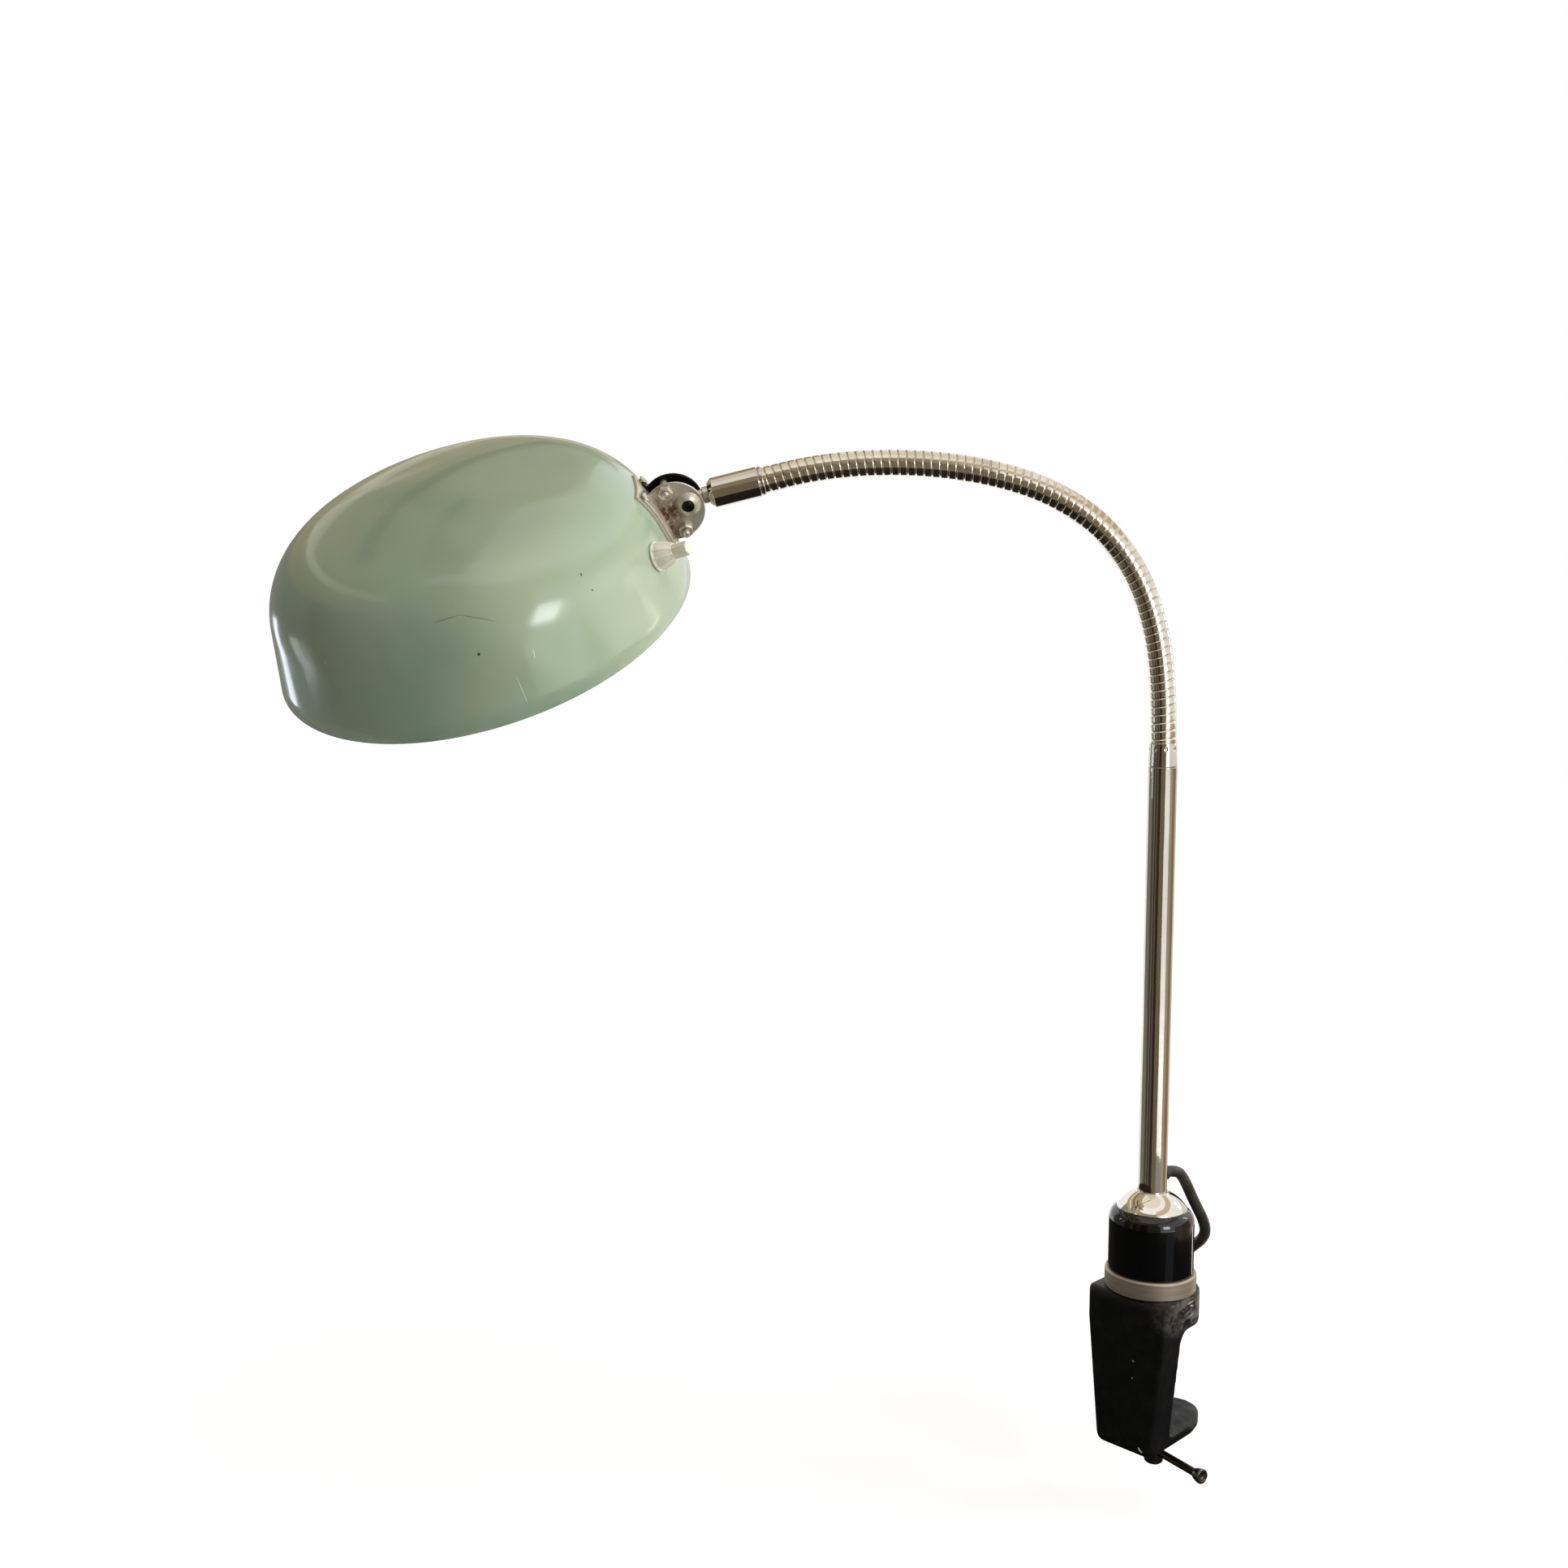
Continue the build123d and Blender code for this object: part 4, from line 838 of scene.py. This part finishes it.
cordLook = {
    "radius": 2.75,
    "hangAzimuth": 121.5,
    "exitAzimuth": 70.9,
    "exitHeight": 71.0,
    "exitRadius": 6.6,
    "route": (  # along the hang, left of it, up, in millimetres
        (9.0, -11.0, 71.0),
        (12.4, -14.6, 67.0),
        (18.6, -20.4, 52.5),
        (26.0, -26.0, 40.0),
        (33.0, -26.5, 30.5),
        (41.0, -20.5, 22.0),
        (46.5, -11.5, 11.0),
    ),
    "fall": 13.0,
    "coilAlong": 81.0,
    "coilUp": -16.0,
    "coilLeft": -7.15,
    "pitch": 6.1,
    "coilRadius": 29.75,
    "turns": (2.0, 2.0, 2.0, 1.5),
    "climb": 0.5,
    "perTurn": 20,
    "tail": 27.0,
    "tailShares": (0.35, 0.7, 1.0),
    "roundness": 5,
    "fineness": 6,
    "length": 1.787,
    "plugLength": 18.0,
    "pinSpacing": 19.0,
    "pin": [
        (0, -0.5), (2.2, -0.5), (2.2, 0.6), (2.0, 0.8), (2.0, 7.0), (1.85, 7.3), (1.85, 13.2), (1.2, 14.8),
        (0, 15.0),
    ],
}
hangSide = math.radians(cordLook["hangAzimuth"])
hang = Vector((math.cos(hangSide), math.sin(hangSide), 0))
hangLeft = Vector((0, 0, 1)).cross(hang)


def hangPoint(along, left, up):
    return hang * along + hangLeft * left + Vector((0, 0, up))


def coilPoint(turns):
    # flat spirals in and out, one layer beside the other
    pitch, climb, layers = cordLook["pitch"], cordLook["climb"], cordLook["turns"]
    radius = cordLook["coilRadius"] + pitch * layers[0] / 2
    left, inward, rest = cordLook["coilLeft"], 1, turns
    for layerTurns in layers:
        if rest <= layerTurns:
            radius -= inward * pitch * rest
            break
        rest -= layerTurns
        radius -= inward * pitch * layerTurns
        if rest < climb:
            radius -= inward * pitch * min(rest, climb - rest)
            left += pitch * (1 - math.cos(math.pi * rest / climb)) / 2
            break
        rest -= climb
        left += pitch
        inward = -inward
    angle = math.pi + 2 * math.pi * turns
    wide = radius / math.cos(math.pi / cordLook["perTurn"])
    along = cordLook["coilAlong"] + wide * math.cos(angle)
    return hangPoint(along, left, cordLook["coilUp"] + wide * math.sin(angle))


def makeCord():
    exitSide = math.radians(cordLook["exitAzimuth"])
    exitPoint = Vector((math.cos(exitSide), math.sin(exitSide), 0)) * cordLook["exitRadius"]
    exitPoint.z = cordLook["exitHeight"]
    allTurns = sum(cordLook["turns"]) + cordLook["climb"] * (len(cordLook["turns"]) - 1)
    count = round(allTurns * cordLook["perTurn"])
    coil = [coilPoint(allTurns * step / count) for step in range(count + 1)]
    points = [exitPoint] + [hangPoint(*point) for point in cordLook["route"]]
    points += [coil[0] + Vector((0, 0, cordLook["fall"]))] + coil
    points += [coil[-1] - Vector((0, 0, cordLook["tail"] * share)) for share in cordLook["tailShares"]]
    curve = bpy.data.curves.new("mains_cord", "CURVE")
    curve.dimensions = "3D"
    curve.bevel_depth = cordLook["radius"] * mm
    curve.bevel_resolution = cordLook["roundness"]
    curve.resolution_u = cordLook["fineness"]
    curve.use_fill_caps = True
    line = curve.splines.new("NURBS")
    line.points.add(len(points) - 1)
    for spot, point in zip(line.points, points):
        spot.co = (*(point * mm), 1)
    line.order_u = 3
    line.use_endpoint_u = True
    curve.materials.append(finishes["cord_rubber"])
    cord = bpy.data.objects.new("mains_cord", curve)
    bpy.context.scene.collection.objects.link(cord)
    return cord, exitPoint * mm, points[-1]


mainsCord, cordExit, cordEnd = makeCord()
fit(mainsCord, "stem", "cord_rubber", "cord_lead", "cord_coil", "cord_tail")


def makePlug():
    plug = fitFormed("plug_moulded", "plug_body", 0.4, 6, "plug_plastic", "stem", "plug_plastic")
    pinFoot = cordEnd - Vector((0, 0, cordLook["plugLength"]))
    parts = []
    for side in (-0.5, 0.5):
        place = (pinFoot + hangLeft * cordLook["pinSpacing"] * side) * mm
        parts.append((cordLook["pin"], axisFrame(place, (0, 0, -1), hang)))
    pins = turnedSet("plug_pins_turned", parts, finishes["pin_brass"], 0.2, 32)
    fit(pins, "stem", "pin_brass", "plug_pins")
    tie = fitFormed("tie_band", "cord_tie", 0.35, 5, "cord_rubber", "stem", "cord_rubber")
    return [plug, pins, tie]


cordPieces = makePlug()
bpy.context.view_layer.update()
print("cord laid")

# shade: one spun bowl, green outside and white inside


def shoulderMiddle():
    # middle of a shoulder arc that lies inside both the drafted wall and the crown
    crown, shoulder = shadeLook["crown"], shadeLook["shoulder"]
    low, high, halvings = -50.0, 90.0, 60
    for step in range(halvings):
        z = (low + high) / 2
        x = shadeLook["radius"] - z * math.tan(draft) - shoulder / math.cos(draft)
        if math.hypot(x, z - shadeLook["depth"] + crown) > crown - shoulder:
            high = z
        else:
            low = z
    return x, z


shoulderX, shoulderZ = shoulderMiddle()


def bowlProfile(growth):
    # drafted wall, round shoulder and crowned top, from rim to crown
    crown, away = shadeLook["crown"] + growth, shadeLook["shoulder"] + growth
    crownMiddle = shadeLook["depth"] - shadeLook["crown"]
    top = math.atan2(shoulderZ - crownMiddle, shoulderX)
    points = [(shadeLook["radius"] + growth / math.cos(draft), 0.0)]
    foot = Vector((shoulderX + away * math.cos(draft), shoulderZ + away * math.sin(draft)))
    for share in shadeLook["wallShares"]:
        points.append(tuple(Vector(points[0]).lerp(foot, share)))
    for step in range(shadeLook["shoulderSteps"] + 1):
        angle = draft + (top - draft) * step / shadeLook["shoulderSteps"]
        points.append((shoulderX + away * math.cos(angle), shoulderZ + away * math.sin(angle)))
    for step in range(1, shadeLook["crownSteps"] + 1):
        angle = top + (math.pi / 2 - top) * step / shadeLook["crownSteps"]
        points.append((crown * math.cos(angle), crownMiddle + crown * math.sin(angle)))
    return points


def wallPlace(azimuth, height):
    # on the bowl's outside: local X up the wall, local Z outwards
    lift = (height - shoulderZ) / shadeLook["shoulder"]
    if lift > math.sin(draft):
        rise = math.asin(lift)
        radius = shoulderX + shadeLook["shoulder"] * math.cos(rise)
    else:
        rise = draft
        radius = shadeLook["radius"] - height * math.tan(draft)
    side = math.radians(azimuth)
    out = Vector((math.cos(rise) * math.cos(side), math.cos(rise) * math.sin(side), math.sin(rise)))
    place = Vector((radius * math.cos(side), radius * math.sin(side), height)) * mm
    return shadePlace @ axisFrame(place, out, (0, 0, 1))


def makeShade():
    outside, inside, lip = bowlProfile(0), bowlProfile(-shadeLook["wall"]), shadeLook["lip"]
    rim = [(inside[0][0] + lip, 0.0), (outside[0][0] - lip, 0.0), (outside[0][0], lip)]
    outline = inside[::-1] + rim + outside[1:]
    verts, faces = turnedMesh([(outline, shadePlace)], shadeLook["steps"])
    piece = meshPiece("shade_bowl", verts, faces, finishes["enamel_green"])
    piece.data.materials.append(finishes["enamel_inside"])
    toShade = shadePlace.inverted()
    turnBack = toShade.to_3x3()
    for face in piece.data.polygons:
        middle, normal = toShade @ face.center / mm, turnBack @ face.normal
        lean = Vector((0, 0, shadeLook["crownLean"]))  # on the crown, up counts as outwards too
        outward = normal.dot(Vector((middle.x, middle.y, 0)).normalized() + lean)
        face.material_index = 0 if outward > 0 or middle.z < shadeLook["rimHeight"] else 1
    return piece


fit(makeShade(), "head", "enamel_green", "shade")
print("shade spun")

# ball joint: two pressed cheeks squeezed on a ball by two bolts, on a plate riveted to the shade

jointLook = {
    "boltOut": -6.4,
    "boltUp": 10.7,
    "boltHead": [
        (0, -7.6), (0.9, -7.6), (0.9, -7.0), (1.3, -7.0), (1.3, -7.55), (2.4, -7.3), (3.3, -6.2), (3.3, -5.4),
        (1.75, -5.4),
    ],
    "boltEnds": (9.4, 11.2),
    "boltPitch": 0.7,
    "boltThread": (8.0, 0.8),  # first groove, and the least room left for the tip
    "boltRadii": (1.5, 1.75),
    "boltTip": (1.1, 0.5),
    "nutTurns": (12, 40),
    "nutBore": 2.0,
    "nut": [(1.8, 5.4), (3.3, 5.4), (3.9, 5.6), (3.9, 7.75), (3.15, 8.2), (1.8, 8.2), (1.8, 5.4)],
    "nutFlats": 6.4,
    "rivet": [
        (0, -2.35), (1.5, -2.25), (2.3, -1.9), (2.6, -1.4), (2.6, -1.15), (1.5, -1.15), (1.5, 2.4), (2.6, 2.4),
        (2.55, 2.75), (2.15, 3.2), (1.2, 3.5), (0, 3.6),
    ],
    "rivetSide": 5.847,
    "rivetHeights": (18.756, 43.756),
}


def nutShape(radius, height, angle):
    return radius if radius < jointLook["nutBore"] else min(radius, sixSided(jointLook["nutFlats"], angle))


def makeJoint():
    for name, node, finishName, slotName in (
        ("front_cheek_pressed", "front_cheek", "stained_nickel", "nickel_plate"),
        # the rear cheek, a mirror of the front pressing, takes the dark steel as painted shade
        ("rear_cheek_pressed", "rear_cheek", "blackened_steel", "blackened_steel"),
        ("joint_plate", "base_plate", "stained_nickel", "nickel_plate"),
    ):
        fitFormed(name, node, 0.25, 4, finishName, "head", slotName)
    bolts, nuts = [], []
    (groove, crest), (tip, tipLength) = jointLook["boltRadii"], jointLook["boltTip"]
    for side, end, turn in zip((1, -1), jointLook["boltEnds"], jointLook["nutTurns"]):
        spot = Vector((jointLook["boltOut"], side * jointLook["boltUp"], 0))
        place = bracketPlace @ Matrix.Translation(spot * mm)
        profile = list(jointLook["boltHead"])
        along, room = jointLook["boltThread"]
        while along < end - room:
            profile += [(groove, along), (crest, along + jointLook["boltPitch"] / 2)]
            along += jointLook["boltPitch"]
        profile += [(groove, end - tipLength), (tip, end), (0, end)]
        bolts.append((profile, place))
        nuts.append((jointLook["nut"], place @ Matrix.Rotation(math.radians(turn), 4, "Z")))
    rivets = [
        (jointLook["rivet"], wallPlace(side * jointLook["rivetSide"], height))
        for side in (-1, 1)
        for height in jointLook["rivetHeights"]
    ]
    for name, node, parts, steps, shape in (
        ("joint_bolts_turned", "joint_bolts", bolts, 48, None),
        ("joint_nuts_cut", "joint_nuts", nuts, 96, nutShape),
        ("shade_rivets_set", "shade_rivets", rivets, 48, None),
    ):
        fit(turnedSet(name, parts, finishes["nickel_plate"], 0, steps, shape), "head", "nickel_plate", node)


makeJoint()
print("ball joint made")

# push switch: fluted ivory collar and a six-sided button

switchLook = {
    "azimuth": -20.0,
    "height": 26.0,
    "flutes": 10,
    "fluteDepth": 0.085,
    "fluteBore": 4.1,
    "fluteSpan": (1.2, 9.3),
    "ribSharpness": 9,
    "foot": [(4.45, 4.75), (4.45, 0), (6.9, 0), (7.1, 0.3), (7.1, 0.9), (6.95, 1.1)],
    "bell": ((6.9, 1.3), (4.25, 9.2), 97.0),
    "tip": [(4.0, 9.5), (3.5, 9.5), (3.45, 9.2), (3.45, 4.75), (4.45, 4.75)],
    "buttonFoot": [(0, -3.5), (3.4, -3.5), (3.4, -2.1), (2.55, -2.1), (2.55, 7.7)],
    "button": [(3.1, 7.9), (3.4, 8.2), (3.4, 15.9), (3.1, 16.5), (2.0, 16.8), (0, 16.8)],
    "buttonFlats": 5.9,
    "flatsFrom": 7.8,
}


def collarShape(radius, height, angle):
    # flat panels with a thin raised rib between each two
    low, high = switchLook["fluteSpan"]
    if radius < switchLook["fluteBore"] or not low < height < high:
        return radius
    rib = abs(math.cos(angle * switchLook["flutes"] / 2)) ** switchLook["ribSharpness"]
    return radius * (1 - switchLook["fluteDepth"] * (1 - rib))


def buttonShape(radius, height, angle):
    if height <= switchLook["flatsFrom"]:
        return radius
    return min(radius, sixSided(switchLook["buttonFlats"], angle))


def makeSwitch():
    place = wallPlace(switchLook["azimuth"], switchLook["height"])
    collar = switchLook["foot"] + arcBetween(*switchLook["bell"]) + switchLook["tip"]
    button = switchLook["buttonFoot"] + switchLook["button"]
    for name, node, profile, body, slotName, steps, shape in (
        ("switch_collar_fluted", "switch_collar", collar, "head", "ivory_plastic", 240, collarShape),
        ("switch_button_cut", "switch_button", button, "button", "button_plastic", 96, buttonShape),
    ):
        fitTurned(name, node, profile, place, slotName, body, slotName, 0, steps, shape)


makeSwitch()
print("switch made")

# lampholder and bulb inside the shade

bulbLook = {
    "height": 32.0,
    "holderLength": 42.0,
    "ridges": (3.0, 6.0, 9.0, 12.0, 28.0),
    "ridge": [(16.9, -0.8), (17.5, -0.4), (17.5, 0.4), (16.9, 0.8)],
    "neck": [(12.0, 1.7), (12.0, -5.0), (12.5, -7.6)],
    "middle": -26.33,
    "radius": 22.5,
    "neckAngle": 0.82,
    "glassSteps": 40,
}


def makeBulb():
    front = shadeLook["radius"] - bulbLook["height"] * math.tan(draft) - shadeLook["wall"]
    front -= bulbLook["holderLength"]
    place = shadePlace @ axisFrame(Vector((front, 0, bulbLook["height"])) * mm, (1, 0, 0))
    fitFormed("lampholder_moulded", "lampholder", 0.5, 4, "holder_plastic", "head", "holder_plastic")
    ridges = []
    for along in bulbLook["ridges"]:
        ridges.append((bulbLook["ridge"], place @ Matrix.Translation((0, 0, along * mm))))
    fit(turnedSet("lampholder_ridges", ridges, finishes["holder_plastic"], 0.2), "head", "holder_plastic")
    radius, first, steps = bulbLook["radius"], bulbLook["neckAngle"], bulbLook["glassSteps"]
    glass = list(bulbLook["neck"])
    for step in range(steps + 1):
        angle = first - (first + math.pi / 2) * step / steps
        glass.append((radius * math.cos(angle), bulbLook["middle"] + radius * math.sin(angle)))
    fitTurned("bulb_blown", "bulb_glass", glass, place, "opal_glass", "head", "opal_glass", 0.8, 128)


makeBulb()
print("bulb fitted")

# gooseneck: one wound tube, cut where each length is straight, bent across one joint at a time

neckLook = {
    "radius": 6.25,
    "groove": 5.2,
    "grooveShare": 0.09,
    "lift": 0.14,
    "pitch": 3.9,
    "linkLength": 28.5,
    "bentFromTop": (6,),  # its near and far ends are swapped, though nothing here uses them
    "start": 271.0,
    "around": 40,
    "perTurn": 14,
    "endOver": 2.0,
    "lowerSleeve": {
        "top": 280.4, "radii": (6.85, 6.45), "bore": 5.8, "overlap": 8.0, "edge": 0.3, "seat": 0.05, "lip": 0.2,
        "topEase": 0.15, "boreEase": 0.1, "boreFoot": 1.5, "steps": 32,
        "dotHeight": 277.8, "dotRadius": 0.85, "dotDepth": 0.5, "dots": 8, "dottedFrom": 6.3,
    },
    "upperSleeve": [
        (6.35, -4.5), (6.7, -4.5), (6.95, -4.1), (6.95, -3.0), (6.6, -2.7), (6.6, -2.4), (7.2, -2.1),
        (7.2, 19.9), (5.0, 22.1), (3.05, 22.1), (3.05, 9.3), (5.45, 9.3), (5.45, 2.3), (6.35, 2.3), (6.35, -4.5),
    ],
    "stud": [
        (1.4, 12.1), (3.0, 12.1), (3.0, 22.1), (4.0, 22.1), (4.0, 24.8), (3.2, 24.8), (3.2, 27.5), (2.5, 27.5),
        (2.5, 38.1), (3.2, 38.1), (3.2, 38.8), (1.4, 38.8), (1.4, 12.1),
    ],
    "ballUp": 32.8,
    "ballRadius": 7.0,
    "ballFlat": 5.0,
    "ballBore": 2.58,
    "ballSteps": 24,
}
neckNames = [f"neck_bend_{number:02d}" for number in range(1, 11)]
neckJoints = [Vector(joints[name]["pos_m"]) for name in neckNames]
bendAxis = Vector(joints["neck_bend_01"]["axis"]).normalized()
lastDir = (ballCentre - neckJoints[-1]).normalized()
neckEnd = neckJoints[-1] + lastDir * neckLook["linkLength"] * mm


def windingAt(share):
    # a nearly flat band, lifted at one edge, and a narrow groove
    away = min(share, 1 - share) / neckLook["grooveShare"]
    band = neckLook["radius"] - neckLook["lift"] * (1 - share)
    if away >= 1:
        return band
    return neckLook["groove"] + (band - neckLook["groove"]) * (away * away * (3 - 2 * away))


def sleeveShape(radius, height, angle):
    sleeve = neckLook["lowerSleeve"]
    if radius < sleeve["dottedFrom"]:
        return radius
    apart = 2 * math.pi / sleeve["dots"]
    off = ((angle + apart / 2) % apart - apart / 2) * radius
    away = math.hypot(off, height - sleeve["dotHeight"]) / sleeve["dotRadius"]
    return radius - sleeve["dotDepth"] * max(0.0, 1 - away * away)


def makeNeck():
    bodies = ["stem"] + [f"neck_{number:02d}" for number in range(1, 11)]
    cuts = [Vector((0, 0, neckLook["start"] * mm))]
    cuts += [(low + high) / 2 for low, high in zip(neckJoints, neckJoints[1:] + [neckEnd])]
    run, finish = 0.0, finishes["neck_chrome"]
    for number, corner in enumerate(neckJoints):
        line = curvedRun(cuts[number], corner, cuts[number + 1])
        piece = woundTube(f"gooseneck_{number + 1:02d}", line, run, neckLook, bendAxis, windingAt, finish)
        run += line[-1][0]
        near, far = (bodies[number], cuts[number]), (bodies[number + 1], cuts[number + 1])
        if number + 1 in neckLook["bentFromTop"]:
            near, far = far, near
        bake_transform(piece)
        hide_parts(f"neck_link_{number + 1:02d}")
    line = curvedRun(cuts[-1], (cuts[-1] + neckEnd) / 2, neckEnd + lastDir * neckLook["endOver"] * mm)
    piece = woundTube("gooseneck_end", line, run, neckLook, bendAxis, windingAt, finish)
    fit(piece, bodies[-1], "chrome_plate")


def makeSleeves():
    sleeve = neckLook["lowerSleeve"]
    foot, top, bore = baseLook["stem"][2][1], sleeve["top"], sleeve["bore"]
    (wide, narrow), steps = sleeve["radii"], sleeve["steps"]
    seat, edge, lip = foot + sleeve["seat"], foot + sleeve["edge"], sleeve["lip"]
    profile = [(bore, foot - sleeve["overlap"]), (bore, seat), (wide - lip, seat), (wide, edge)]
    for step in range(1, steps + 1):
        profile.append((wide + (narrow - wide) * step / steps, edge + (top - edge) * step / steps))
    profile += [(narrow - sleeve["topEase"], top + lip), (bore + sleeve["boreEase"], top + lip)]
    profile.append((bore, foot + sleeve["boreFoot"]))
    chrome = "chrome_plate"
    fitTurned("lower_sleeve", "lower_ferrule", profile, upright, chrome, "stem", chrome, 0, 192, sleeveShape)
    place = axisFrame(neckEnd, lastDir)
    for name, node, part, finishName in (
        ("upper_sleeve", "upper_ferrule", "upperSleeve", chrome),
        ("ball_stud_turned", "ball_stud", "stud", "nickel_plate"),
    ):
        fitTurned(name, node, neckLook[part], place, finishName, "neck_10", chrome, 0.2)
    middle, radius, steps = neckLook["ballUp"], neckLook["ballRadius"], neckLook["ballSteps"]
    flat = math.asin(neckLook["ballFlat"] / radius)
    ball = [(neckLook["ballBore"], middle - neckLook["ballFlat"])]
    for step in range(steps + 1):
        angle = flat * (2 * step / steps - 1)
        ball.append((radius * math.cos(angle), middle + radius * math.sin(angle)))
    ball += [(neckLook["ballBore"], middle + neckLook["ballFlat"]), ball[0]]
    # the ball takes the dark steel as painted shade, where it shows through the cheek's hole
    fitTurned("joint_ball_turned", "joint_ball", ball, place, "blackened_steel", "ball", "nickel_plate", 0)


makeNeck()
makeSleeves()
print("gooseneck wound")

# finishes of the hidden nodes that stay as they are

keptNodes = {
    "plain_steel": ("swivel_plate", "pivot_stud", "pivot_nut", "stem_nut"),
    "blackened_steel": ("spring_washer",),
    "holder_plastic": ("switch_body",),
    "bulb_metal": ("bulb_cap",),
    "cord_rubber": ("cord_grommet",),
}
for slotName, names in keptNodes.items():
    for name in names:
        nodes[name].data.materials.clear()
        nodes[name].data.materials.append(finishes[slotName])

print("lamp dressed")
